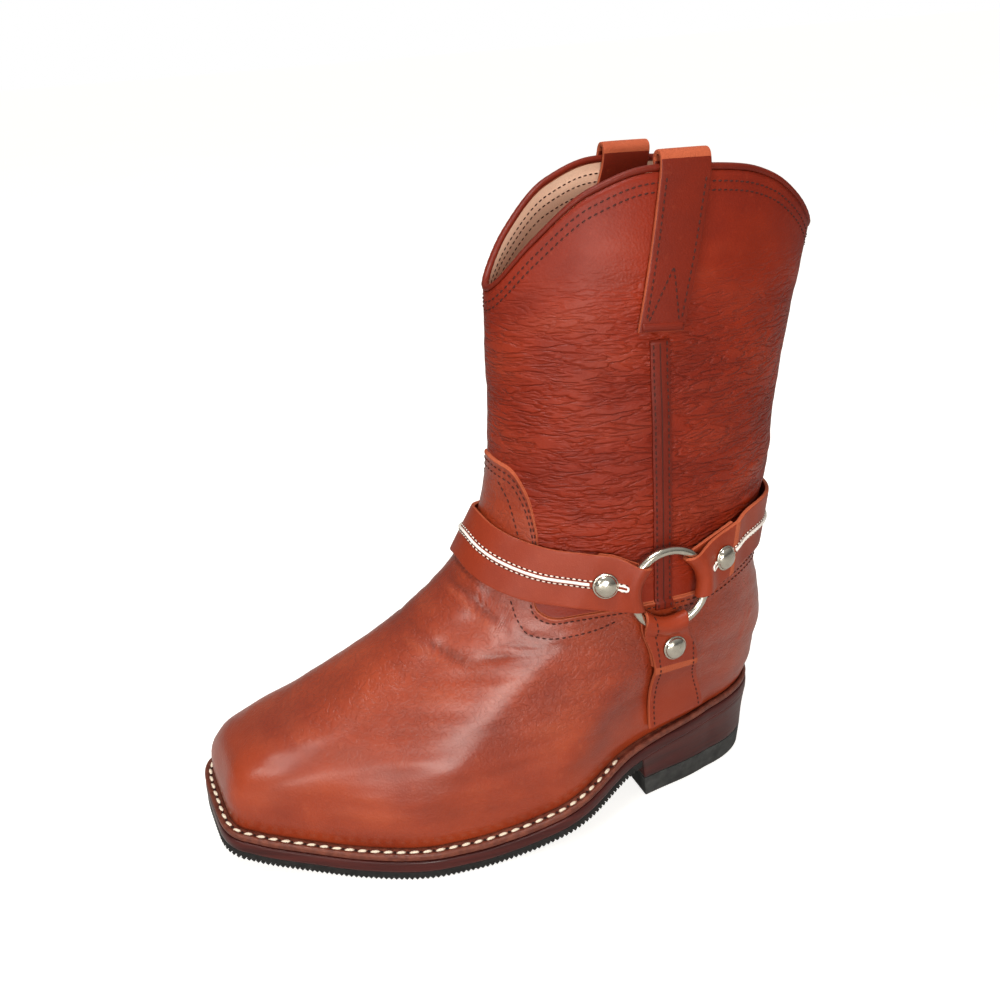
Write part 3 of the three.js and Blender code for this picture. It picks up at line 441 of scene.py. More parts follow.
@dataclass(frozen=True)
class HideFinish:
    """Finish of one leather: its colours, gloss and grain, with painted shade and highlight at creases
    and wrinkles.
    """

    name: str
    base: tuple
    deep: tuple
    pale: tuple
    rough: float = .42
    coat: float = .25
    pebble: float = 900.0
    pebble_depth: float = .00016
    wrinkle: float = 170.0
    flat: float = 4.0
    wrinkle_depth: float = 0.0
    wrinkle_z: tuple = (0.0, 1.0)
    speck: float = .12

    def build(self) -> bpy.types.Material:
        """Returns: the finished material."""
        material, g, shader = start_material(self.name)
        grain = g.node("ShaderNodeGroup", {"node_tree": GRAIN}, Pebble=self.pebble,
                       Wrinkle=self.wrinkle, Flat=self.flat)
        crease = g.node("ShaderNodeGroup", {"node_tree": CREASES})
        place = g.node("ShaderNodeTexCoord").outputs["Object"]
        height = g.node("ShaderNodeSeparateXYZ", None, Vector=place).outputs["Z"]
        low, high = self.wrinkle_z
        band = g.math("MULTIPLY", g.ramp(height, low - .012, low + .012),
                      g.ramp(height, high + .02, high - .02))
        colour = g.blend(grain.outputs["Tone"], rgba(self.deep), rgba(self.base))
        rising = g.math("MULTIPLY", grain.outputs["Specks"], self.speck)
        colour = g.blend(rising, colour, rgba(self.pale))
        # Painted highlight on crease ridges and painted shade in crease troughs, read from the relief
        # attribute.
        colour = g.blend(g.math("MULTIPLY", crease.outputs["Light"], .35), colour, rgba(self.pale))
        colour = g.blend(g.math("MULTIPLY", crease.outputs["Dark"], .5), colour,
                         rgba([c * .35 for c in self.deep]))
        # Painted shade: the wrinkle valleys are darkened in colour as well as bumped.
        if self.wrinkle_depth:
            valley = g.math("SUBTRACT", 1.0, grain.outputs["Wrinkles"])
            dark = g.math("MULTIPLY", g.math("MULTIPLY", valley, band), .11)
            colour = g.blend(dark, colour, rgba([c * .4 for c in self.deep]))
        g.feed(shader.inputs["Base Color"], colour)
        g.feed(shader.inputs["Roughness"], g.ramp(grain.outputs["Tone"], 0.0, 1.0,
                                                  (self.rough + .08, self.rough - .05)))
        shader.inputs["Coat Weight"].default_value = self.coat
        shader.inputs["Coat Roughness"].default_value = .28
        shader.inputs["Specular IOR Level"].default_value = .2
        bump = g.node("ShaderNodeBump", None, Strength=.55, Distance=self.pebble_depth,
                      Height=grain.outputs["Pebbles"])
        normal = bump.outputs[0]
        if self.wrinkle_depth:
            folds = g.math("MULTIPLY", grain.outputs["Wrinkles"], band)
            second = g.node("ShaderNodeBump", None, Strength=.8, Distance=self.wrinkle_depth,
                            Height=folds, Normal=normal)
            normal = second.outputs[0]
        g.feed(shader.inputs["Normal"], normal)
        return material


@dataclass(frozen=True)
class PlainFinish:
    """Finish of thread, metal, rubber, trim and burnished edges."""

    name: str
    base: tuple
    other: tuple
    rough: float = .5
    metal: float = 0.0
    coat: float = 0.0
    scale: float = 120.0
    stretch: tuple = (1.0, 1.0, 1.0)
    depth: float = .0001
    spread: tuple = (.35, .65)
    glow: float = 0.0

    def build(self) -> bpy.types.Material:
        """Returns: the finished material."""
        material, g, shader = start_material(self.name)
        place = g.node("ShaderNodeTexCoord").outputs["Object"]
        turned = g.node("ShaderNodeMapping", None, Vector=place, Scale=self.stretch)
        spots = g.node("ShaderNodeTexNoise", None, Vector=turned.outputs[0], Scale=self.scale,
                       Detail=4.0, Roughness=.6)
        share = g.ramp(spots.outputs["Fac"], *self.spread)
        g.feed(shader.inputs["Base Color"], g.blend(share, rgba(self.base), rgba(self.other)))
        g.feed(shader.inputs["Roughness"], g.ramp(share, 0.0, 1.0,
                                                  (self.rough, min(1.0, self.rough + .12))))
        shader.inputs["Metallic"].default_value = self.metal
        shader.inputs["Specular IOR Level"].default_value = .5 if self.metal else .25
        shader.inputs["Emission Color"].default_value = (1.0, .99, .97, 1.0)
        if self.glow:
            seen = g.node("ShaderNodeLightPath").outputs["Is Camera Ray"]
            g.feed(shader.inputs["Emission Strength"], g.math("MULTIPLY", seen, self.glow))
        shader.inputs["Coat Weight"].default_value = self.coat
        shader.inputs["Coat Roughness"].default_value = .2
        bump = g.node("ShaderNodeBump", None, Strength=.5, Distance=self.depth,
                      Height=spots.outputs["Fac"])
        g.feed(shader.inputs["Normal"], bump.outputs[0])
        return material


FINISHES = {f.name: f for f in (
    HideFinish("vamp_leather", (.30, .040, .0105), (.185, .020, .006), (.50, .12, .05), rough=.38,
               coat=.45, pebble=1000.0, pebble_depth=.0002, wrinkle=230.0, flat=1.3,
               wrinkle_depth=.00022, wrinkle_z=(.055, .2)),
    HideFinish("shaft_leather", (.235, .019, .004), (.155, .0105, .0025), (.40, .07, .03), rough=.46,
               coat=.03, pebble=900.0, pebble_depth=.00016, wrinkle=72.0, flat=4.2,
               wrinkle_depth=.0010, wrinkle_z=(.125, .245)),
    # Darker copy of the shaft leather whose extra darkness is painted shade; used for pull straps, collar
    # bead, side tapes and hems.
    HideFinish("tab_leather_painted_shade", (.165, .0135, .004), (.11, .0085, .0025), (.34, .07, .03), rough=.44,
               coat=.05, pebble=1200.0, pebble_depth=.00012),
    HideFinish("strap_leather", (.27, .034, .010), (.195, .021, .006), (.42, .10, .045), rough=.44,
               coat=.08, pebble=1500.0, pebble_depth=.0001),
    HideFinish("cut_leather", (.45, .10, .042), (.33, .065, .026), (.58, .2, .11), rough=.7, coat=0.0,
               pebble=1500.0, pebble_depth=.0003),
    HideFinish("facing_leather", (.80, .52, .38), (.70, .42, .29), (.86, .66, .53), rough=.65,
               coat=0.0, pebble=1100.0, pebble_depth=.00015, speck=.05),
    PlainFinish("welt_edge", (.085, .018, .010), (.17, .045, .025), rough=.45, coat=.1, scale=300.0,
                depth=.0003),
    PlainFinish("burnished_edge", (.032, .004, .0035), (.062, .009, .007), rough=.28, coat=.07,
                scale=60.0, stretch=(.3, .3, 6.0), depth=.00012),
    PlainFinish("sole_rubber", (.006, .006, .006), (.016, .0155, .015), rough=.7, scale=500.0),
    PlainFinish("lift_rubber", (.02, .021, .021), (.05, .051, .05), rough=.55, scale=220.0),
    PlainFinish("nickel", (.58, .55, .47), (.46, .43, .36), rough=.16, metal=1.0, scale=240.0,
                depth=.00001),
    PlainFinish("cream_thread", (.80, .72, .58), (.6, .5, .38), rough=.7, scale=2500.0,
                stretch=(1.0, 1.0, 3.0), depth=.0002),
    PlainFinish("white_thread", (.86, .82, .76), (.7, .63, .55), rough=.65, scale=2500.0),
    PlainFinish("dark_thread", (.035, .006, .004), (.07, .014, .009), rough=.6, scale=2500.0),
    # Painted shade: near-black marks between the stitches stand for the shade inside the stitch holes.
    PlainFinish("pinhole_shade", (.02, .006, .004), (.03, .01, .008), rough=.8, scale=800.0),
    PlainFinish("white_piping", (.88, .85, .8), (.78, .72, .65), rough=.4, coat=.2, scale=400.0),
    PlainFinish("studio_floor", (.56, .55, .535), (.54, .53, .515), rough=.8, scale=3.0,
                glow=.8),
)}
MADE: dict[str, bpy.types.Material] = {}


def finish(name: str) -> bpy.types.Material:
    """Args: name: of a finish. Returns: its material, built once."""
    if name not in MADE:
        MADE[name] = FINISHES[name].build()
    return MADE[name]


# ---------------------------------------------------------------- meshes


def grid_faces(rows: int, columns: int, wrap_rows: bool, wrap_columns: bool) -> np.ndarray:
    """Args: rows, columns: of the grid; wraps: closed ways. Returns: quads of its points."""
    i, j = np.meshgrid(np.arange(rows if wrap_rows else rows - 1),
                       np.arange(columns if wrap_columns else columns - 1), indexing="ij")
    ni, nj = (i + 1) % rows, (j + 1) % columns
    quads = np.stack([i * columns + j, i * columns + nj, ni * columns + nj, ni * columns + j], -1)
    return quads.reshape(-1, 4)


def make_object(name: str, points: np.ndarray, faces: Sequence, slots: Sequence[str],
                pick: Optional[np.ndarray] = None) -> bpy.types.Object:
    """Makes a smooth mesh whose faces point outwards.

    Args:
        name: name of the object.
        points: places in millimetres.
        faces: corner lists.
        slots: finishes in order.
        pick: which finish each face takes.

    Returns:
        The object, linked to the scene.
    """
    mesh = bpy.data.meshes.new(name)
    mesh.from_pydata((np.asarray(points).reshape(-1, 3) * MM).tolist(), [],
                     [list(map(int, f)) for f in faces])
    for slot in slots:
        mesh.materials.append(finish(slot))
    if pick is not None:
        mesh.polygons.foreach_set("material_index", np.asarray(pick, np.int32))
    made = bmesh.new()
    made.from_mesh(mesh)
    if made.calc_volume(signed=True) < 0:
        bmesh.ops.reverse_faces(made, faces=made.faces)
    made.to_mesh(mesh)
    made.free()
    mesh.shade_smooth()
    thing = bpy.data.objects.new(name, mesh)
    bpy.context.scene.collection.objects.link(thing)
    return thing


def settle(thing: bpy.types.Object, sharp: float = 40.0) -> bpy.types.Object:
    """Turns an object's modifiers into plain mesh.

    Args:
        thing: object with its modifiers set.
        sharp: edges over this angle stay crisp, in degrees.

    Returns:
        The same object without modifiers.
    """
    depsgraph = bpy.context.evaluated_depsgraph_get()
    mesh = bpy.data.meshes.new_from_object(thing.evaluated_get(depsgraph),
                                           preserve_all_data_layers=True, depsgraph=depsgraph)
    thing.modifiers.clear()
    old, thing.data = thing.data, mesh
    mesh.name = thing.name
    bpy.data.meshes.remove(old)
    mesh.shade_smooth()
    mesh.set_sharp_from_angle(angle=math.radians(sharp))
    return thing


def soften(thing: bpy.types.Object, width: float, levels: int = 0,
           segments: int = 2) -> bpy.types.Object:
    """Rounds the sharp edges and smooths the faces of an object, width in millimetres."""
    bevel = thing.modifiers.new("edge", "BEVEL")
    bevel.width, bevel.segments = width * MM, segments
    bevel.limit_method, bevel.angle_limit = "ANGLE", math.radians(50)
    if levels:
        smooth = thing.modifiers.new("smooth", "SUBSURF")
        smooth.levels = smooth.render_levels = levels
    return settle(thing)


def report(thing: bpy.types.Object, slot: str, *nodes: str) -> bpy.types.Object:
    """Lets a piece ride on the boot, stand for its nodes and be named in the log."""
    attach(thing, BODY)
    if nodes:
        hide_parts(*nodes)
    LOG.info("%s: %d faces", thing.name, len(thing.data.polygons))
    return thing


def tube_faces(count: int, around: int, closed: bool) -> list:
    """Returns: faces of a tube of loops, with flat ends where it isn't closed."""
    faces = grid_faces(count, around, closed, True).tolist()
    if not closed:
        faces.append(list(range(around))[::-1])
        faces.append([(count - 1) * around + k for k in range(around)])
    return faces


@dataclass
class Path:
    """Line over a surface, with the ways out, in millimetres."""

    points: np.ndarray
    out: np.ndarray
    closed: bool = False

    @property
    def along(self) -> np.ndarray:
        """Directions of the line at its points."""
        p = self.points
        if self.closed:
            return unit(np.roll(p, -1, 0) - np.roll(p, 1, 0))
        return unit(np.gradient(p, axis=0))

    @property
    def length(self) -> float:
        """Length of the line."""
        p = np.vstack([self.points, self.points[:1]]) if self.closed else self.points
        return float(np.linalg.norm(np.diff(p, axis=0), axis=1).sum())

    def even(self, spacing: float, phase: float = 0.5) -> "Path":
        """Args: spacing: step; phase: share of it at the start. Returns: evenly spaced places."""
        p, o = self.points, self.out
        if self.closed:
            p, o = np.vstack([p, p[:1]]), np.vstack([o, o[:1]])
        reach = np.concatenate([[0], np.cumsum(np.linalg.norm(np.diff(p, axis=0), axis=1))])
        count = max(2, int(round(reach[-1] / spacing)))
        d = (np.arange(count) + phase) / count * reach[-1]
        points = np.stack([np.interp(d, reach, p[:, c]) for c in range(3)], 1)
        out = unit(np.stack([np.interp(d, reach, o[:, c]) for c in range(3)], 1))
        return Path(points, out, self.closed)

    def ribbon(self, name: str, profile: Sequence[tuple[float, float]], slot: str,
               scale: Optional[np.ndarray] = None) -> bpy.types.Object:
        """Sweeps a closed profile of (across, out) along the line.

        Args:
            name: name of the object.
            profile: section in millimetres.
            slot: finish.
            scale: size of the section at each point.

        Returns:
            The new object.
        """
        across = unit(np.cross(self.out, self.along))
        size = np.ones(len(self.points)) if scale is None else scale
        section = np.asarray(profile, float)
        rows = (self.points[:, None] + across[:, None] * section[None, :, :1] * size[:, None, None]
                + self.out[:, None] * section[None, :, 1:] * size[:, None, None])
        return make_object(name, rows, tube_faces(len(rows), len(section), self.closed), [slot])


def oval(wide: float, high: float, base: float = 0.0, sides: int = 10) -> list:
    """Returns: an oval section that stands on base."""
    turn = 2 * np.pi * np.arange(sides) / sides
    return [(wide / 2 * math.cos(a), base + high / 2 + high / 2 * math.sin(a)) for a in turn]


def slab_section(wide: float, high: float, base: float, rim: float = .35) -> list:
    """Returns: a flat section with rounded rims."""
    w, top = wide / 2, base + high
    return [(-w, base + rim * .4), (-w, top - rim), (-w + rim * .35, top - rim * .3),
            (-w + rim, top), (0, top + .04), (w - rim, top), (w - rim * .35, top - rim * .3),
            (w, top - rim), (w, base + rim * .4), (w - rim, base), (-w + rim, base)]


class Ground:
    """Outer face of some pieces, on which lines are laid."""

    def __init__(self, *things: bpy.types.Object) -> None:
        """Args: things: pieces that carry the lines."""
        points: list = []
        faces: list = []
        for thing in things:
            start = len(points)
            points.extend(v.co.copy() for v in thing.data.vertices)
            faces.extend([start + k for k in p.vertices] for p in thing.data.polygons)
        self.tree = BVHTree.FromPolygons(points, faces)

    def lay(self, from_points: np.ndarray, out: np.ndarray, start: float = 14.0,
            lift: float = 0.0, closed: bool = False) -> Path:
        """Drops points onto the ground along their ways in.

        Args:
            from_points: points near the ground, in millimetres.
            out: directions away from it.
            start: how far outside the drop starts.
            lift: how far above the ground the line lies.
            closed: whether it is a loop.

        Returns:
            The line on the ground.
        """
        points, ways = [], []
        for p, n in zip(from_points, out):
            hit, face, _, _ = self.tree.ray_cast(Vector((p + n * start) * MM), Vector(-n),
                                                 (start + 6) * MM)
            if hit is None:
                continue
            points.append(np.array(hit) / MM + np.array(face) * lift)
            ways.append(np.array(face))
        ways_out = np.array(ways)
        soft = ways_out.copy()
        for _ in range(3):
            soft[1:-1] = unit(soft[:-2] + 2 * soft[1:-1] + soft[2:])
        return Path(np.array(points), soft, closed)


# ---------------------------------------------------------------- stitches


class Shape(Enum):
    """Shapes that are repeated along lines."""

    THREAD = "thread"
    TOOTH = "tooth"


def repeat_tree(shape: Shape) -> bpy.types.NodeTree:
    """Args: shape: what is repeated. Returns: tree that sets it on every point."""
    tree = bpy.data.node_groups.new(f"{shape.value}_row", "GeometryNodeTree")
    face = tree.interface
    face.new_socket("Geometry", in_out="INPUT", socket_type="NodeSocketGeometry")
    for name, value in (("Length", .002), ("Width", .0008), ("Rise", .0006), ("Wobble", .08)):
        socket = face.new_socket(name, in_out="INPUT", socket_type="NodeSocketFloat")
        socket.default_value = value
    seed = face.new_socket("Seed", in_out="INPUT", socket_type="NodeSocketInt")
    seed.default_value = 7
    face.new_socket("Material", in_out="INPUT", socket_type="NodeSocketMaterial")
    face.new_socket("Geometry", in_out="OUTPUT", socket_type="NodeSocketGeometry")
    g = Graph(tree)
    inside, out = g.node("NodeGroupInput"), g.node("NodeGroupOutput")
    read = [g.node("GeometryNodeInputNamedAttribute", {"data_type": "FLOAT_VECTOR"}, Name=name)
            for name in ("up", "along")]
    stand = g.node("FunctionNodeAlignRotationToVector", {"axis": "Z"},
                   Vector=read[0].outputs["Attribute"])
    turn = g.node("FunctionNodeAlignRotationToVector", {"axis": "X", "pivot_axis": "Z"},
                  Rotation=stand.outputs[0], Vector=read[1].outputs["Attribute"])
    if shape is Shape.THREAD:
        ball = g.node("GeometryNodeMeshUVSphere", None, Segments=8, Rings=5, Radius=.5)
        item = ball.outputs["Mesh"]
    else:
        cube = g.node("GeometryNodeMeshCube", None, Size=(.7071, 1.0, .7071))
        moved = g.node("GeometryNodeTransform", None, Geometry=cube.outputs["Mesh"],
                       Rotation=(0.0, math.radians(45), 0.0))
        item = moved.outputs[0]
    chance = g.node("FunctionNodeRandomValue", {"data_type": "FLOAT"}, Seed=inside.outputs["Seed"])
    spread = g.math("MULTIPLY", inside.outputs["Wobble"],
                    g.math("SUBTRACT", chance.outputs[1], .5))
    long = g.math("MULTIPLY", inside.outputs["Length"], g.math("ADD", 1.0, spread))
    size = g.node("ShaderNodeCombineXYZ", None, X=long, Y=inside.outputs["Width"],
                  Z=inside.outputs["Rise"])
    placed = g.node("GeometryNodeInstanceOnPoints", None, Points=inside.outputs["Geometry"],
                    Instance=item, Rotation=turn.outputs[0], Scale=size.outputs[0])
    real = g.node("GeometryNodeRealizeInstances", None, Geometry=placed.outputs[0])
    done = g.node("GeometryNodeSetMaterial", None, Geometry=real.outputs[0],
                  Material=inside.outputs["Material"])
    g.feed(out.inputs[0], done.outputs[0])
    return tree


TREES = {shape: repeat_tree(shape) for shape in Shape}


@dataclass
class Row:
    """One row of stitches, holes or teeth along a line."""

    path: Path
    pitch: float
    long: float
    wide: float
    rise: float
    phase: float = .5
    swing: float = 0.0


def repeat(name: str, rows: Sequence[Row], slot: str, shape: Shape = Shape.THREAD,
           seed: int = 7) -> bpy.types.Object:
    """Sets the shape along rows of one size.

    Args:
        name: name of the piece.
        rows: rows that share one size, that of the first.
        slot: finish.
        shape: what is repeated.
        seed: fixed seed of the small differences.

    Returns:
        The piece as plain mesh.
    """
    places, ups, alongs = [], [], []
    for row in rows:
        spots = row.path.even(row.pitch, row.phase)
        along = spots.along
        if row.swing:
            across = np.cross(spots.out, along)
            along = unit(along + across * row.swing)
        places.append(spots.points)
        ups.append(spots.out)
        alongs.append(along)
    mesh = bpy.data.meshes.new(name)
    points = np.vstack(places) * MM
    mesh.from_pydata(points.tolist(), [], [])
    for key, values in (("up", ups), ("along", alongs)):
        mark = mesh.attributes.new(key, "FLOAT_VECTOR", "POINT")
        mark.data.foreach_set("vector", np.vstack(values).astype(np.float32).ravel())
    thing = bpy.data.objects.new(name, mesh)
    bpy.context.scene.collection.objects.link(thing)
    modifier = thing.modifiers.new("row", "NODES")
    modifier.node_group = TREES[shape]
    first = rows[0]
    values = {"Length": first.long * MM, "Width": first.wide * MM, "Rise": first.rise * MM,
              "Wobble": .12, "Seed": seed, "Material": finish(slot)}
    for item in TREES[shape].interface.items_tree:
        if item.in_out == "INPUT" and item.name in values:
            modifier[item.identifier] = values[item.name]
    return settle(thing, 60.0 if shape is Shape.THREAD else 30.0)


# ---------------------------------------------------------------- upper


@dataclass(frozen=True)
class Crease:
    """Soft trough or ridge laid over the skin as listed (t, s) places."""

    places: tuple
    depth: float
    width: float


CREASES_BY_HAND = (
    Crease(((.396, 1.0), (.392, .946), (.386, .904), (.378, .864), (.368, .818), (.36, .78)), -1.05, 1.5),
    Crease(((.385, .98), (.377, .91), (.367, .86), (.355, .80)), .52, 2.0),
    Crease(((.39, .894), (.38, .846), (.37, .806)), -.6, 1.2),
    Crease(((.474, 1.0), (.468, .936), (.46, .894), (.448, .852), (.422, .776)), -1.12, 1.6),
    Crease(((.462, .99), (.457, .93), (.447, .885), (.434, .84), (.41, .78)), .6, 2.2),
    Crease(((.48, .93), (.45, .87), (.432, .818)), -.68, 1.3),
    Crease(((.485, .91), (.47, .868), (.456, .822), (.442, .786)), -.68, 1.4),
    Crease(((.37, .792), (.374, .758), (.382, .728), (.384, .69), (.388, .644)), -.68, 1.7),
    Crease(((.398, .782), (.396, .74), (.396, .692), (.4, .644)), -.52, 1.4),
    Crease(((.425, .76), (.412, .72), (.41, .66)), -.52, 1.4),
    Crease(((.35, .94), (.335, .88), (.325, .81)), -.33, 1.6),
    Crease(((.39, .76), (.386, .72), (.392, .66)), .38, 2.2),
    Crease(((.44, -.97), (.42, -.88), (.395, -.80), (.39, -.72)), -.7, 2.0),
    Crease(((.41, -.93), (.39, -.85), (.375, -.77)), -.45, 1.4),
    Crease(((.39, -.95), (.375, -.87), (.36, -.78)), -.5, 1.8),
    Crease(((.47, -.88), (.44, -.80), (.42, -.70)), .4, 3.0),
    Crease(((.37, -.84), (.35, -.76), (.345, -.68)), -.35, 1.8),
    Crease(((.70, .10), (.665, .18), (.645, .28)), -.6, 2.4),
    Crease(((.73, .06), (.70, .15), (.675, .26), (.66, .34)), .5, 3.6),
    Crease(((.66, .04), (.635, .12), (.625, .20)), -.7, 2.4),
    Crease(((.68, .03), (.65, .11), (.63, .24), (.625, .33)), -.45, 1.6),
    Crease(((.76, .16), (.735, .25), (.72, .34)), -.4, 2.4),
    Crease(((.80, .10), (.775, .19), (.755, .28)), -.3, 2.2),
    Crease(((.62, .62), (.615, .70), (.63, .76)), -.4, 1.8),
    Crease(((.66, .60), (.655, .68), (.665, .75)), -.35, 1.8),
    Crease(((.60, .66), (.595, .73), (.60, .79)), .35, 2.4),
    Crease(((.69, -.10), (.66, -.20), (.645, -.30)), -.6, 2.4),
    Crease(((.65, -.05), (.63, -.14), (.62, -.24)), -.7, 2.4),
    Crease(((.63, -.60), (.62, -.70), (.63, -.80)), -.5, 2.0),
    Crease(((.67, -.58), (.66, -.68), (.67, -.78)), -.35, 1.8),
    Crease(((.345, .155), (.30, .150), (.27, .145)), .3, 1.1),
    Crease(((.40, .145), (.36, .152)), .25, 1.0),
)


@dataclass
class Upper:
    """Hollow upper: shaft, vamp and counter outside, facing and lining inside."""

    half_around: int = 190
    vamp_rows: int = 84
    shaft_rows: int = 84
    inside_rows: int = 40
    creases: tuple = CREASES_BY_HAND
    thing: Optional[bpy.types.Object] = field(default=None, repr=False)

    def stations(self) -> np.ndarray:
        """Returns: ways round, closer at the sides."""
        k = np.arange(self.half_around + 1) / self.half_around
        half = k + .045 * np.sin(2 * np.pi * k)
        return np.concatenate([half, -half[1:-1][::-1]])

    def relief(self, points: np.ndarray) -> np.ndarray:
        """Args: points: places on the skin. Returns: how far the creases move them."""
        flat = points.reshape(-1, 3)
        total = np.zeros(len(flat))
        for crease in self.creases:
            t, s = (np.array([p[i] for p in crease.places]) for i in (0, 1))
            reach = np.linspace(0, len(t) - 1, 8 * len(t))
            line = SKIN.at(SmoothCurve(np.arange(len(t)), t)(reach),
                           SmoothCurve(np.arange(len(s)), s)(reach))
            near = np.linalg.norm(flat - line.mean(0), axis=1) < 70
            gaps = np.linalg.norm(flat[near][:, None] - line[None], axis=2)
            which = gaps.argmin(1)
            taper = np.sin(np.pi * np.clip((which + .5) / len(line), 0, 1)) ** .6
            total[near] += crease.depth * taper * np.exp(-(gaps.min(1) / crease.width) ** 2)
        return total.reshape(points.shape[:-1])

    @staticmethod
    def waves(points: np.ndarray, scale: Sequence[float], amount: float) -> np.ndarray:
        """Returns: soft unevenness of the hide at the points."""
        flat = points.reshape(-1, 3) * np.asarray(scale)
        values = np.array([noise.noise(Vector(p)) for p in flat])
        return (amount * values).reshape(points.shape[:-1])

    def build(self) -> bpy.types.Object:
        """Returns: the upper with its outside, rim, facing and lining."""
        s = self.stations()
        edge = SKIN.edge(s)
        rise = SKIN.climb(edge, s)
        rows: list[tuple[np.ndarray, np.ndarray, int]] = []
        for k in np.linspace(0, 1, self.vamp_rows, endpoint=False):
            rows.append((k * (edge - 1.7 / rise), np.full_like(s, SIZE.vamp_step), 0))
        lip = ((-1.5, 1.22, 0), (-1.1, 1.36, 0), (-.6, 1.42, 1), (-.2, 1.3, 1), (0, 1.0, 1),
               (.06, .5, 1), (.1, .02, 1), (.5, 0, 2))
        for d, up, slot in lip:
            rows.append((edge + d / rise, np.full_like(s, up), slot))
        for k in np.linspace(0, 1, self.shaft_rows + 1)[1:]:
            rows.append((mix(edge + .5 / rise, 1.0, k), np.zeros_like(s), 2))
        rows.append((np.ones_like(s), np.full_like(s, -SIZE.wall * .5), 4))
        top = len(rows) - 1
        for k in np.linspace(1, 0, self.inside_rows):
            rows.append((np.full_like(s, k), np.full_like(s, -SIZE.wall), 3))
        t_rows = np.array([r[0] for r in rows])
        offsets = np.array([r[1] for r in rows])
        s_rows = np.broadcast_to(s, t_rows.shape)
        base = SKIN.at(t_rows, s_rows)
        lift = self.relief(base)
        tame = ease((t_rows - .03) / .05) * ease((.97 - t_rows) / .05)
        waves = self.waves(base, (.035, .035, .06), .5) + self.waves(base, (.05, .05, .22), .22)
        lift = (lift + waves) * tame
        lift[top:] = 0
        offsets = offsets + lift
        points = base + SKIN.normal(t_rows, s_rows) * offsets[..., None]
        for row in (0, len(rows) - 1):
            points[row, :, 2] = seat(points[row, :, 1])
        faces = grid_faces(len(rows), len(s), True, True)
        slots = np.array([rows[min(i, len(rows) - 1)][2] for i in range(len(rows))])
        slots = np.repeat(slots, len(s))
        self.thing = make_object("upper_shell", points, faces,
                                 ["vamp_leather", "cut_leather", "shaft_leather", "facing_leather",
                                  "cut_leather"], slots)
        # The relief is kept on the points; the leather finishes read it as painted shade in troughs and
        # painted highlight on ridges.
        mark = self.thing.data.attributes.new("relief", "FLOAT", "POINT")
        mark.data.foreach_set("value", np.clip(lift / .9, -1, 1).astype(np.float32).ravel())
        return report(self.thing, "upper_leather", "upper")


@dataclass
class Collar:
    """Rolled bead of the shaft's top."""

    half_around: int = 150

    def build(self) -> Path:
        """Returns: the bead's middle line."""
        k = np.arange(self.half_around + 1) / self.half_around
        s = np.concatenate([k, -k[1:-1][::-1]])
        up = unit(SKIN.at(1.0, s) - SKIN.at(.97, s))
        out = SKIN.normal(np.ones_like(s), s)
        centre = SKIN.offset(np.ones_like(s), s, np.full_like(s, -SIZE.wall / 2))
        middle = centre + up * SIZE.bead
        turn = 2 * np.pi * np.arange(14) / 14
        pucker = 1 + .045 * np.sin(np.arange(len(s)) * 2.1)
        rows = (middle[:, None] + out[:, None] * (SIZE.bead * pucker[:, None] * np.cos(turn))[..., None]
                + up[:, None] * (SIZE.bead * .95 * np.sin(turn))[..., None])
        bead = make_object("collar_bead", rows, tube_faces(len(s), 14, True), ["tab_leather_painted_shade"])
        report(bead, "upper_leather", "topline_bead")
        return Path(middle, out, True)


# ---------------------------------------------------------------- sole


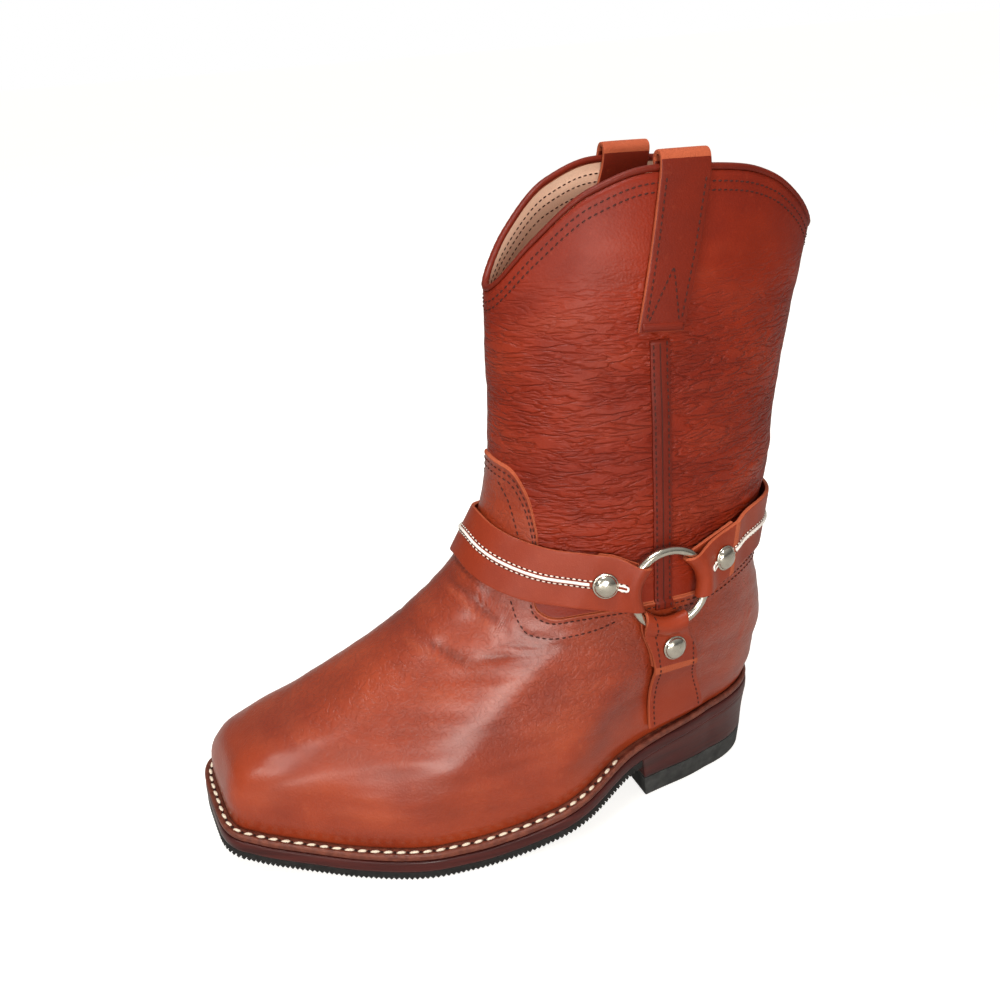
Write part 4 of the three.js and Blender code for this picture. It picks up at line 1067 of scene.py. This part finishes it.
@dataclass
class Sole:
    """Welt, burnished midsole and heel stack, toothed rubber and top lift."""

    around: int = 640
    cave: float = 0.45

    def sweep(self, name: str, section: Sequence[tuple], floor: Callable, slot: str,
              node: str, record_slot: str) -> bpy.types.Object:
        """Sweeps a section of (from outer edge, above floor) round the whole outline."""
        s = np.linspace(-1, 1, self.around, endpoint=False)
        rows = []
        for inwards, up in section:
            line = SKIN.outline(s, SKIN.reach(s) + inwards)
            line[:, 2] = floor(line[:, 1]) + up
            rows.append(line)
        points = np.array(rows).transpose(1, 0, 2)
        thing = make_object(name, points, tube_faces(len(s), len(section), True), [slot])
        thing.data.set_sharp_from_angle(angle=math.radians(50))
        return report(thing, record_slot, node)

    @staticmethod
    def crossing(side: Side, line: float) -> float:
        """Returns: way round at which the outline passes y = line."""
        low, high = .02, .9
        for _ in range(40):
            middle = np.array(side.value * (low + high) / 2)
            if SKIN.outline(middle, SKIN.reach(middle))[1] > line:
                low = abs(float(middle))
            else:
                high = abs(float(middle))
        return low

    def heel_loops(self, heights: Sequence[float], top: Optional[Callable]) -> np.ndarray:
        """Args: heights: shares or heights; top: height of the top. Returns: stacked loops."""
        ends = {side: self.crossing(side, SIZE.breast_line) for side in Side}
        s = np.concatenate([np.linspace(-ends[Side.INNER], 0, 60, endpoint=False),
                            np.linspace(0, ends[Side.OUTER], 61)])
        line = SKIN.outline(s, SKIN.reach(s))
        across = np.linspace(0, 1, 14)[1:-1, None]
        line = np.vstack([line, line[-1] * (1 - across) + line[0] * across])
        full = float(midsole_bottom(SIZE.heel_line))
        loops = []
        for h in heights:
            if top is None:
                z = np.full(len(line), h)
                k = 1 - SIZE.heel_taper * (1 - h / full)
            else:
                low = SIZE.lift + SIZE.gap
                z = mix(low, top(line[:, 1]), h)
                k = 1 - SIZE.heel_taper * (1 - SIZE.lift / full) * (1 - h)
                k -= self.cave / 40 * math.sin(math.pi * h)
            loops.append(np.stack([line[:, 0] * k, mix(SIZE.heel_centre, line[:, 1], k), z], 1))
        return np.array(loops)

    def build(self) -> None:
        """Builds every layer of the sole."""
        welt = [(-14, 2.98), (-4.1, 2.98), (-3.4, 2.75), (-2.7, 2.7), (-2.1, 2.95), (-1.4, 3.3),
                (-.7, 3.32), (-.2, 3.0), (0, 2.4), (-.05, 1.4), (-.3, .4), (-.7, .05), (-14, .02)]
        self.sweep("welt_band", welt, welt_bottom, "welt_edge", "welt", "welt_leather")
        mid = [(-14, 5.2), (-.75, 5.2), (-.25, 5.0), (0, 4.5), (.12, 2.8), (.05, 1.0), (0, .1),
               (-.1, .02), (-14, 0)]
        self.sweep("midsole_band", mid, midsole_bottom, "burnished_edge", "midsole", "sole_edge")
        shares = np.linspace(0, 1, 9)
        stack = self.heel_loops(shares, midsole_bottom)
        thing = make_object("heel_block", stack, tube_faces(9, stack.shape[1], False),
                            ["burnished_edge"])
        report(soften(thing, .35), "sole_edge", "heel_stack")
        lift = self.heel_loops([0, 3.5, 7.5, SIZE.lift], None)
        thing = make_object("top_lift", lift, tube_faces(4, lift.shape[1], False), ["lift_rubber"])
        report(soften(thing, .5), "rubber", "heel_lift")
        self.outsole()

    def outsole(self) -> None:
        """Builds the thin rubber and the teeth of its lower edge."""
        ends = [self.crossing(side, SIZE.breast_line - SIZE.gap) for side in Side]
        count, lip = 220, 1.15
        sides = []
        for side, start in zip(Side, ends):
            s = side.value * np.linspace(start, 1, count)
            for level, grow in ((1, -.3), (1, 0), (0, 0), (0, -.4)):
                line = SKIN.outline(s, SKIN.reach(s) + grow)
                floor = underside(line[:, 1])
                high = midsole_bottom(line[:, 1]) - .02 - (0 if grow else .3)
                low = floor + (lip if grow else lip + .3)
                line[:, 2] = high if level else low
                sides.append(line)
        order = [sides[i] for i in (0, 1, 2, 3, 7, 6, 5, 4)]
        points = np.array(order).transpose(1, 0, 2)
        thing = make_object("rubber_sole", points, tube_faces(count, 8, False), ["sole_rubber"])
        made = bmesh.new()
        made.from_mesh(thing.data)
        bmesh.ops.remove_doubles(made, verts=made.verts, dist=1e-6)
        made.to_mesh(thing.data)
        made.free()
        thing.data.set_sharp_from_angle(angle=math.radians(40))
        report(thing, "rubber", "outsole")
        s = np.concatenate([np.linspace(ends[0], 1, 500), -np.linspace(1, ends[1], 500)[1:]])
        line = SKIN.outline(s, SKIN.reach(s) - 3.0)
        line[:, 2] = underside(line[:, 1]) + lip + .02
        edge = Path(line, np.tile([0.0, 0.0, -1.0], (len(line), 1)))
        teeth = repeat("edge_teeth", [Row(edge, 2.3, 2.3, 6.0, 2.3)], "sole_rubber", Shape.TOOTH)
        report(teeth, "rubber")
        ribs = []
        for y in np.arange(-40.0, -212.0, -5.2):
            xs = [SKIN.outline(np.array(side.value * self.at_y(side, y)),
                               np.array(SIZE.welt_reach - 9.0))[0] for side in Side]
            x = np.linspace(xs[1], xs[0], 12)
            flat = np.stack([x, np.full(12, y), np.full(12, underside(y) + lip + .3)], 1)
            ribs.append(Path(flat, np.tile([0.0, 0.0, -1.0], (12, 1))))
        profile = [(-1.5, -.4), (-1.0, 1.0), (1.0, 1.0), (1.5, -.4)]
        for index, path in enumerate(ribs):
            rib = path.ribbon(f"tread_rib_{index:02d}", profile, "sole_rubber")
            ribs[index] = rib
        joined = join_things("tread_ribs", ribs)
        report(joined, "rubber")

    @staticmethod
    def at_y(side: Side, y: float) -> float:
        """Returns: share of the way round at which the feather line passes y."""
        return abs(float(SKIN.around(0.0, y, side)))


def join_things(name: str, things: Sequence[bpy.types.Object]) -> bpy.types.Object:
    """Args: name: of the result; things: pieces. Returns: them as one object."""
    made = bmesh.new()
    slots: list = []
    for thing in things:
        start = len(made.faces)
        made.from_mesh(thing.data)
        made.faces.ensure_lookup_table()
        for material in thing.data.materials:
            if material not in slots:
                slots.append(material)
        for face in made.faces[start:]:
            face.material_index = slots.index(thing.data.materials[face.material_index])
    mesh = bpy.data.meshes.new(name)
    made.to_mesh(mesh)
    made.free()
    for material in slots:
        mesh.materials.append(material)
    for thing in things:
        old = thing.data
        bpy.data.objects.remove(thing)
        bpy.data.meshes.remove(old)
    joined = bpy.data.objects.new(name, mesh)
    bpy.context.scene.collection.objects.link(joined)
    return joined


# ---------------------------------------------------------------- harness


def from_node(name: str, node: str, slots: Sequence[str], rim: float, width: float,
              levels: int) -> bpy.types.Object:
    """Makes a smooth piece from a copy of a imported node.

    Args:
        name: name of the piece.
        node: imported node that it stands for.
        slots: finish of the faces and of the cut rims.
        rim: longest side of a rim face that marks it as cut, in millimetres.
        width: rounding of the rims.
        levels: how often it is smoothed.

    Returns:
        The new object.
    """
    made = bmesh.new()
    made.from_mesh(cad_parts[node].data)
    bmesh.ops.remove_doubles(made, verts=made.verts, dist=2e-5)
    bmesh.ops.join_triangles(made, faces=made.faces, angle_face_threshold=math.radians(40),
                             angle_shape_threshold=math.radians(60))
    for face in made.faces:
        sides = sorted(e.calc_length() for e in face.edges)
        face.material_index = int(len(slots) > 1 and sides[1] < rim * MM and sides[0] < rim * MM)
    mesh = bpy.data.meshes.new(name)
    made.to_mesh(mesh)
    made.free()
    for slot in slots:
        mesh.materials.append(finish(slot))
    mesh.shade_smooth()
    thing = bpy.data.objects.new(name, mesh)
    bpy.context.scene.collection.objects.link(thing)
    return soften(thing, width, levels)


@dataclass
class Harness:
    """Rings, straps, piping, rivets and their stitches."""

    piping: float = 1.35
    straps: dict = field(default_factory=dict)

    def frame_of(self, side: Side) -> tuple[np.ndarray, np.ndarray, np.ndarray, np.ndarray]:
        """Returns: foot, forward, up and out of the harness ring of a side."""
        s = np.array(side.value * RING_AROUND)
        t = np.array(SIZE.ring_height)
        out = SKIN.normal(t, s)
        fore = SKIN.at(t, s + side.value * .02) - SKIN.at(t, s - side.value * .02)
        fore = unit(fore - out * fore.dot(out))
        return SKIN.at(t, s), fore, np.cross(fore, out) * side.value, out

    def build(self) -> None:
        """Builds the harness of both sides."""
        for side in Side:
            self.ring(side)
            node = f"harness_lower_strap_{side.label}"
            strap = from_node(f"lower_strap_{side.label}", node,
                              ["strap_leather", "cut_leather"], 2.6, .4, 2)
            self.straps[side.label] = report(strap, "strap_leather", node)
        for name in ("front", "back"):
            node = f"harness_{name}_strap"
            strap = from_node(f"{name}_strap", node, ["strap_leather", "cut_leather"], 2.6, .4, 2)
            self.straps[name] = report(strap, "strap_leather", node)
        for name in ("front", "back"):
            self.trim(name)
        self.lower_rows()
        for where in ("front", "back", "lower"):
            for side in Side:
                self.rivet(f"rivet_{where}_{side.label}")

    def ring(self, side: Side) -> None:
        """Builds the smooth wire ring of a side."""
        foot, fore, up, out = self.frame_of(side)
        centre = foot + out * SIZE.ring_seat
        a = 2 * np.pi * np.arange(96) / 96
        way = fore * np.cos(a)[:, None] + up * np.sin(a)[:, None]
        line = Path(centre + way * SIZE.ring_radius, way, True)
        ring = line.ribbon(f"wire_ring_{side.label}",
                           oval(2 * SIZE.ring_wire, 2 * SIZE.ring_wire, -SIZE.ring_wire, 16),
                           "nickel")
        report(ring, "nickel", f"ring_{side.label}")

    def round_line(self, name: str, v: float, near: float = 0.0, far: float = 0.0,
                   lift: float = 0.0) -> Path:
        """Lays a line along the front or back strap.

        Args:
            name: front or back.
            v: distance above the strap's middle.
            near: distance from the outer ring at which it starts.
            far: distance from the inner ring at which it ends.
            lift: height over the strap.

        Returns:
            The line on the strap's outer face.
        """
        share = np.linspace(0, 1, 420)
        if name == "front":
            s = mix(RING_AROUND, 2 - RING_AROUND, share)
            t = STRAP_LINES["front"](np.where(s > 1, 2 - s, s))
        else:
            s = mix(RING_AROUND, -RING_AROUND, share)
            t = STRAP_LINES["back"](np.abs(s))
        round_off = np.hanning(45) / np.hanning(45).sum()
        t = np.convolve(np.pad(t, 22, "reflect", reflect_type="odd"), round_off, "valid")
        middle = SKIN.at(t, s)
        reach = np.concatenate([[0], np.cumsum(np.linalg.norm(np.diff(middle, axis=0), axis=1))])
        keep = (reach >= near) & (reach <= reach[-1] - far)
        t, s = t[keep], s[keep]
        t = t + v / SKIN.climb(t, s)
        return Ground(self.straps[name]).lay(SKIN.offset(t, s, np.full_like(s, 3.0)),
                                             SKIN.normal(t, s), 14.0, lift)

    def trim(self, name: str) -> None:
        """Sews the white piping, its rows and its end loops on a strap."""
        line = self.round_line(name, 0.0, 36.5, 36.5)
        section = oval(self.piping, 1.5, -.35, 12)
        middle = line.ribbon(f"piping_line_{name}", section, "white_piping")
        rows, holes = [], []
        for v in (-1.6, 1.6):
            row = self.round_line(name, v, 21.5, 21.5, .12)
            rows.append(Row(row, 2.5, 1.7, .62, .62))
            # Near-black discs between the stitches: painted shade of the stitch holes.
            holes.append(Row(row, 2.5, .95, .75, .34, 0.0))
        loops = [middle]
        for end in (0, 1):
            stub = self.round_line(name, 0.0, 20.5, 20.5)
            ends = stub.points[:14] if end == 0 else stub.points[::-1][:14]
            out = stub.out[:14] if end == 0 else stub.out[::-1][:14]
            along = unit(ends[-1] - ends[0])
            across = unit(np.cross(out[0], along))
            turn = np.linspace(-np.pi / 2, np.pi / 2, 13)[:, None]
            bend = ends[0] + along * (1 - np.cos(turn)) + across * np.sin(turn)
            legs = [ends[0] + along * d + across * w
                    for d, w in ((5.0, -1.0), (3.4, -1.0), (2.0, -1.0))]
            back = [ends[0] + along * d + across * w
                    for d, w in ((2.0, 1.0), (3.4, 1.0), (5.0, 1.0))]
            points = np.vstack([legs, bend, back])
            path = Ground(self.straps[name]).lay(points, np.tile(out[0], (len(points), 1)), 6.0)
            loops.append(path.ribbon(f"piping_loop_{name}_{end}", oval(.95, .9, -.2, 8),
                                     "white_piping"))
        report(join_things(f"piping_cord_{name}", loops), "white_piping", f"piping_{name}")
        report(repeat(f"white_rows_{name}", rows, "white_thread"), "white_piping")
        report(repeat(f"row_holes_{name}", holes, "pinhole_shade"), "strap_leather")

    def lower_rows(self) -> None:
        """Sews the rows near both edges of the lower straps."""
        rows = []
        for side in Side:
            ground = Ground(self.straps[side.label])
            t = np.linspace(.47, SIZE.lower_foot + .008, 160)
            share = np.clip((SIZE.ring_height - t) / (SIZE.ring_height - SIZE.lower_foot), 0, 1)
            wide = mix(24.0, 31.0, ease(share * 1.6 - .6))
            y = SIZE.ring_along + SIZE.lower_lean * share
            for v in (-1, 1):
                s = SKIN.around(t, y - v * (wide / 2 - 2.6), side)
                path = ground.lay(SKIN.offset(t, s, np.full_like(s, 4.0)), SKIN.normal(t, s),
                                  14.0, .08)
                rows.append(Row(path, 3.1, 2.1, .8, .55))
        report(repeat("lower_strap_rows", rows, "dark_thread"), "strap_leather")

    def rivet(self, node: str) -> None:
        """Builds the domed cap that stands for a packed rivet."""
        flat = np.array([v.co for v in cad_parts[node].data.vertices]) / MM
        middle = flat.mean(0)
        axis = np.linalg.svd(flat - middle)[2][2]
        axis = axis * (1 if axis[0] * middle[0] > 0 else -1)
        depth = (flat - middle) @ axis
        rim = flat[depth < depth.min() + .2]
        centre = (rim.max(0) + rim.min(0)) / 2
        centre = centre - axis * ((centre - middle) @ axis - depth.min())
        side = unit(np.cross(axis, [0.0, 0.0, 1.0]))
        up = np.cross(side, axis)
        high = float(depth.max() - depth.min())
        profile = [(5.6, -.25), (5.95, 0), (6.0, .3), (5.8, .62), (5.45, .78), (5.25, .74)]
        profile += [(5.25 * math.cos(a), .74 + (high - .74) * math.sin(a))
                    for a in np.linspace(.12, 1.45, 9)]
        turn = 2 * np.pi * np.arange(40) / 40
        rows = [centre + axis * h + r * (np.cos(turn)[:, None] * side + np.sin(turn)[:, None] * up)
                for r, h in profile]
        cap = make_object(f"cap_{node}", np.array(rows), tube_faces(len(rows), 40, False),
                          ["nickel"])
        report(cap, "nickel", node)


# ---------------------------------------------------------------- trimmings


@dataclass
class Trimmings:
    """Pull straps, side tapes and the stitch rows of the upper."""

    upper: Upper
    dark: list = field(default_factory=list)

    def on_skin(self, t: np.ndarray, s: np.ndarray, lift: float = .1) -> Path:
        """Returns: the line of (t, s) places laid on the upper's outside."""
        t, s = np.asarray(t, float), np.asarray(s, float)
        return self.ground.lay(SKIN.offset(t, s, np.full_like(s, 1.0)), SKIN.normal(t, s), 5.0,
                               lift)

    def build(self) -> None:
        """Builds the trimmings of both sides."""
        self.ground = Ground(self.upper.thing)
        for side in Side:
            self.tape(side)
            self.pull_strap(side)
        self.seams()
        self.collar_rows()
        report(repeat("dark_rows", self.dark, "dark_thread"), "upper_leather")

    def tape(self, side: Side) -> None:
        """Lays the tape over the side seam with its rows."""
        t = np.linspace(.463, .848, 96)
        y = mix(SIZE.ring_along, -13.0, (t - .463) / .385)
        middle = self.on_skin(t, SKIN.around(t, y, side), 0.0)
        tape = middle.ribbon(f"side_tape_{side.label}",
                             slab_section(SIZE.tape_width, 1.0, -.15, .3), "tab_leather_painted_shade")
        report(tape, "upper_leather", f"tape_{side.label}")
        laid = Ground(tape)
        for v in (-3.1, 3.1):
            s = SKIN.around(t, y - v, side)
            row = laid.lay(SKIN.offset(t, s, np.full_like(s, 1.0)), SKIN.normal(t, s), 6.0, .06)
            self.dark.append(Row(row, 3.0, 2.1, .8, .55))
        s = SKIN.around(t, y, side)
        row = laid.lay(SKIN.offset(t, s, np.full_like(s, 1.0)), SKIN.normal(t, s), 6.0, -.02)
        seam = row.ribbon(f"tape_seam_{side.label}", oval(.55, .3, -.1, 6), "dark_thread")
        report(seam, "upper_leather")

    def pull_strap(self, side: Side) -> None:
        """Builds a pull strap with its hem, rows and stitched triangle."""
        node = f"pull_strap_{side.label}"
        strap = from_node(f"pull_tab_{side.label}", node, ["tab_leather_painted_shade", "cut_leather"], 2.8,
                          .5, 2)
        report(strap, "strap_leather", node)
        ground = Ground(strap)

        def lay(t: np.ndarray, v: np.ndarray, lift: float = .08) -> Path:
            k = np.clip((np.asarray(t) - .856) / .144, 0, 1)
            s = SKIN.around(t, mix(-13.0, 3.0, k) - v, side)
            return ground.lay(SKIN.offset(t, s, np.full_like(s, 4.0)), SKIN.normal(t, s), 8.0,
                              lift)

        t = np.linspace(.868, .995, 80)
        for sign in (-1, 1):
            v = sign * (mix(20.5, 23.5, (t - .856) / .144) / 2 - 2.6)
            self.dark.append(Row(lay(t, v), 3.0, 2.1, .8, .55))
        for sign in (-1, 1):
            k = np.linspace(0, 1, 30)
            self.dark.append(Row(lay(mix(.866, .915, k), sign * mix(6.8, 0.0, k)), 2.8, 2.0, .8,
                                 .5))
        v = np.linspace(-11.2, 11.2, 24)
        hem = lay(np.full_like(v, .861), np.clip(v, -9.6, 9.6), 0.0)
        hem = hem.even(.95)
        fold = hem.ribbon(f"pull_hem_{side.label}", oval(3.4, 1.5, -.75, 12), "tab_leather_painted_shade")
        report(fold, "strap_leather")

    def seams(self) -> None:
        """Sews the rows of tongue, scoop and side."""
        for side in Side:
            k = side.value
            tongue = np.linspace(.785, 1.0, 120)
            near = SKIN.edge(tongue)
            rise = SKIN.climb(near, k * tongue)
            for down in (3.0, 6.2):
                self.dark.append(Row(self.on_skin(near - down / rise, k * tongue), 3.0, 2.0, .8,
                                     .5))
            scoop = np.linspace(.47, .785, 140)
            near = SKIN.edge(scoop)
            rise = SKIN.climb(near, k * scoop)
            self.dark.append(Row(self.on_skin(near - 2.6 / rise, k * scoop), 2.8, 1.9, .8, .5))
            outer = ((.817, .47), (.775, .44), (.721, .415), (.675, .41), (.633, .415),
                     (.588, .425), (.554, .44))
            s = np.array([p[0] for p in outer])[::-1]
            t = np.array([p[1] for p in outer])[::-1]
            fine = np.linspace(s[0], s[-1], 120)
            self.dark.append(Row(self.on_skin(SmoothCurve(s, t)(fine), k * fine), 3.0, 2.0, .6,
                                 .45))
            heel = np.linspace(0, .43, 120)
            near = SKIN.edge(heel)
            rise = SKIN.climb(near, k * heel)
            for down in (2.6, 5.6):
                self.dark.append(Row(self.on_skin(near - down / rise, k * heel), 3.0, 2.0, .8,
                                     .5))
            inset_t = np.array([.53, .57, .625, .65])
            inset_s = np.array([.835, .868, .915, .95])
            fine = np.linspace(inset_s[0], inset_s[-1], 60)
            self.dark.append(Row(self.on_skin(SmoothCurve(inset_s, inset_t)(fine), k * fine), 3.0,
                                 2.0, .8, .5))

    def collar_rows(self) -> None:
        """Sews the rows below the collar, outside and on the inside facing."""
        for side in Side:
            s = side.value * np.linspace(.0, 1.0, 260)
            rise = SKIN.climb(np.ones_like(s), s)
            for down in (4.6, 8.4):
                self.dark.append(Row(self.on_skin(1 - down / rise, s), 2.9, 2.1, .85, .6,
                                     swing=.12))
            for down in (5.0, 9.0, 14.0, 24.0):
                t = 1 - down / rise
                inside = Path(SKIN.offset(t, s, np.full_like(s, -SIZE.wall - .02)),
                              -SKIN.normal(t, s))
                self.dark.append(Row(inside, 2.9, 2.0, .55, .3))


def welt_rows() -> None:
    """Sews the pale rows on the welt, from breast to breast round the toe."""
    start = .335
    s = np.concatenate([np.linspace(start, 1, 300), -np.linspace(1, start, 300)[1:]])
    line = SKIN.outline(s, SKIN.reach(s) - 2.9)
    line[:, 2] = welt_bottom(line[:, 1]) + 2.85
    path = Path(line, np.tile([0.0, 0.0, 1.0], (len(line), 1)))
    row = Row(path, 6.0, 4.6, 1.8, 1.5, swing=.16)
    report(repeat("welt_row", [row], "cream_thread"), "welt_leather")
    # Near-black discs between the stitches: painted shade of the stitch holes.
    holes = Row(path, 6.0, 1.4, 2.0, .6, 0.0)
    report(repeat("welt_holes", [holes], "pinhole_shade"), "welt_leather")


# ---------------------------------------------------------------- studio


@dataclass(frozen=True)
class View:
    """Camera that keeps the photograph's angle to the shoe."""

    yaw: float = -77.0
    tilt: float = 17.3
    roll: float = -4.6
    place: tuple = (145.8, 581.0, -184.2)
    focal: float = 1100.0
    centre: tuple = (630.0, 606.0)

    def build(self) -> None:
        """Sets the camera of the scene."""
        turn = (Matrix.Rotation(math.radians(self.roll), 3, "Y")
                @ Matrix.Rotation(math.radians(self.tilt), 3, "X")
                @ Matrix.Rotation(math.radians(self.yaw), 3, "Z"))
        back = turn.transposed()
        spot = -(back @ Vector(self.place)) * MM
        axes = Matrix((back @ Vector((1, 0, 0)), back @ Vector((0, 0, 1)),
                       back @ Vector((0, -1, 0)))).transposed()
        data = bpy.data.cameras.new("photo_view")
        data.sensor_width, data.lens = 36.0, 36.0 * self.focal / 1000
        data.sensor_fit = "HORIZONTAL"
        data.shift_x = (self.centre[0] - 500) / 1000
        data.shift_y = -(self.centre[1] - 500) / 1000
        data.clip_start = .01
        camera = bpy.data.objects.new("photo_view", data)
        camera.matrix_world = Matrix.Translation(spot) @ axes.to_4x4()
        bpy.context.scene.collection.objects.link(camera)
        bpy.context.scene.camera = camera


@dataclass(frozen=True)
class Lamp:
    """One soft panel of light."""

    name: str
    place: tuple
    aim: tuple
    size: float
    power: float
    colour: tuple = (1.0, .96, .9)

    def build(self) -> None:
        """Adds the panel to the scene."""
        data = bpy.data.lights.new(self.name, "AREA")
        data.shape, data.size = "DISK", self.size
        data.energy, data.color = self.power, self.colour
        lamp = bpy.data.objects.new(self.name, data)
        spot = Vector(self.place)
        way = Vector(self.aim) - spot
        lamp.matrix_world = Matrix.Translation(spot) @ way.to_track_quat("-Z", "Y").to_matrix().to_4x4()
        bpy.context.scene.collection.objects.link(lamp)


LAMPS = (
    Lamp("key", (1.9, -.35, .55), (0, -.06, .08), .75, 24.0),
    Lamp("fore", (1.0, -1.6, 1.1), (0, -.05, .1), .6, 11.0),
    Lamp("top", (.2, -.25, 1.45), (0, -.05, .1), .42, 12.0, (1.0, .98, .95)),
    Lamp("low", (1.25, -.95, .2), (0, -.18, .04), .32, 3.0),
    Lamp("back", (-1.2, 1.2, 1.2), (0, 0, .15), .9, 2.0),
)


def studio() -> None:
    """Sets floor, world light, lamps and camera."""
    View().build()
    for lamp in LAMPS:
        lamp.build()
    world = bpy.context.scene.world or bpy.data.worlds.new("studio")
    bpy.context.scene.world = world
    world.use_nodes = True
    tree = world.node_tree
    tree.nodes.clear()
    g = Graph(tree)
    height = g.node("ShaderNodeSeparateXYZ", None,
                    Vector=g.node("ShaderNodeTexCoord").outputs["Generated"]).outputs["Z"]
    soft = g.node("ShaderNodeBackground", None, Color=(1.0, .975, .94, 1.0),
                  Strength=g.ramp(height, -.05, .75, (.08, .48)))
    plain = g.node("ShaderNodeBackground", None, Color=(1.0, 1.0, 1.0, 1.0), Strength=1.0)
    choice = g.node("ShaderNodeMixShader")
    g.feed(choice.inputs[0], g.node("ShaderNodeLightPath").outputs["Is Camera Ray"])
    g.feed(choice.inputs[1], soft.outputs[0])
    g.feed(choice.inputs[2], plain.outputs[0])
    g.node("ShaderNodeOutputWorld", None, Surface=choice.outputs[0])
    mesh = bpy.data.meshes.new("floor")
    made = bmesh.new()
    bmesh.ops.create_grid(made, x_segments=8, y_segments=8, size=40.0)
    bmesh.ops.translate(made, verts=made.verts, vec=(0, 0, -.0006))
    made.to_mesh(mesh)
    made.free()
    mesh.materials.append(finish("studio_floor"))
    floor = bpy.data.objects.new("floor", mesh)
    bpy.context.scene.collection.objects.link(floor)
    bpy.context.scene.view_settings.view_transform = "Standard"


def dress_insole() -> None:
    """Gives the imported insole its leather."""
    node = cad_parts["insole"]
    node.data.materials.clear()
    node.data.materials.append(finish("facing_leather"))


def main() -> None:
    """Builds the boot's pieces in order, then the studio."""
    upper = Upper()
    upper.build()
    Collar().build()
    Sole().build()
    welt_rows()
    Harness().build()
    Trimmings(upper).build()
    dress_insole()
    studio()


if __name__ == "__main__":
    main()
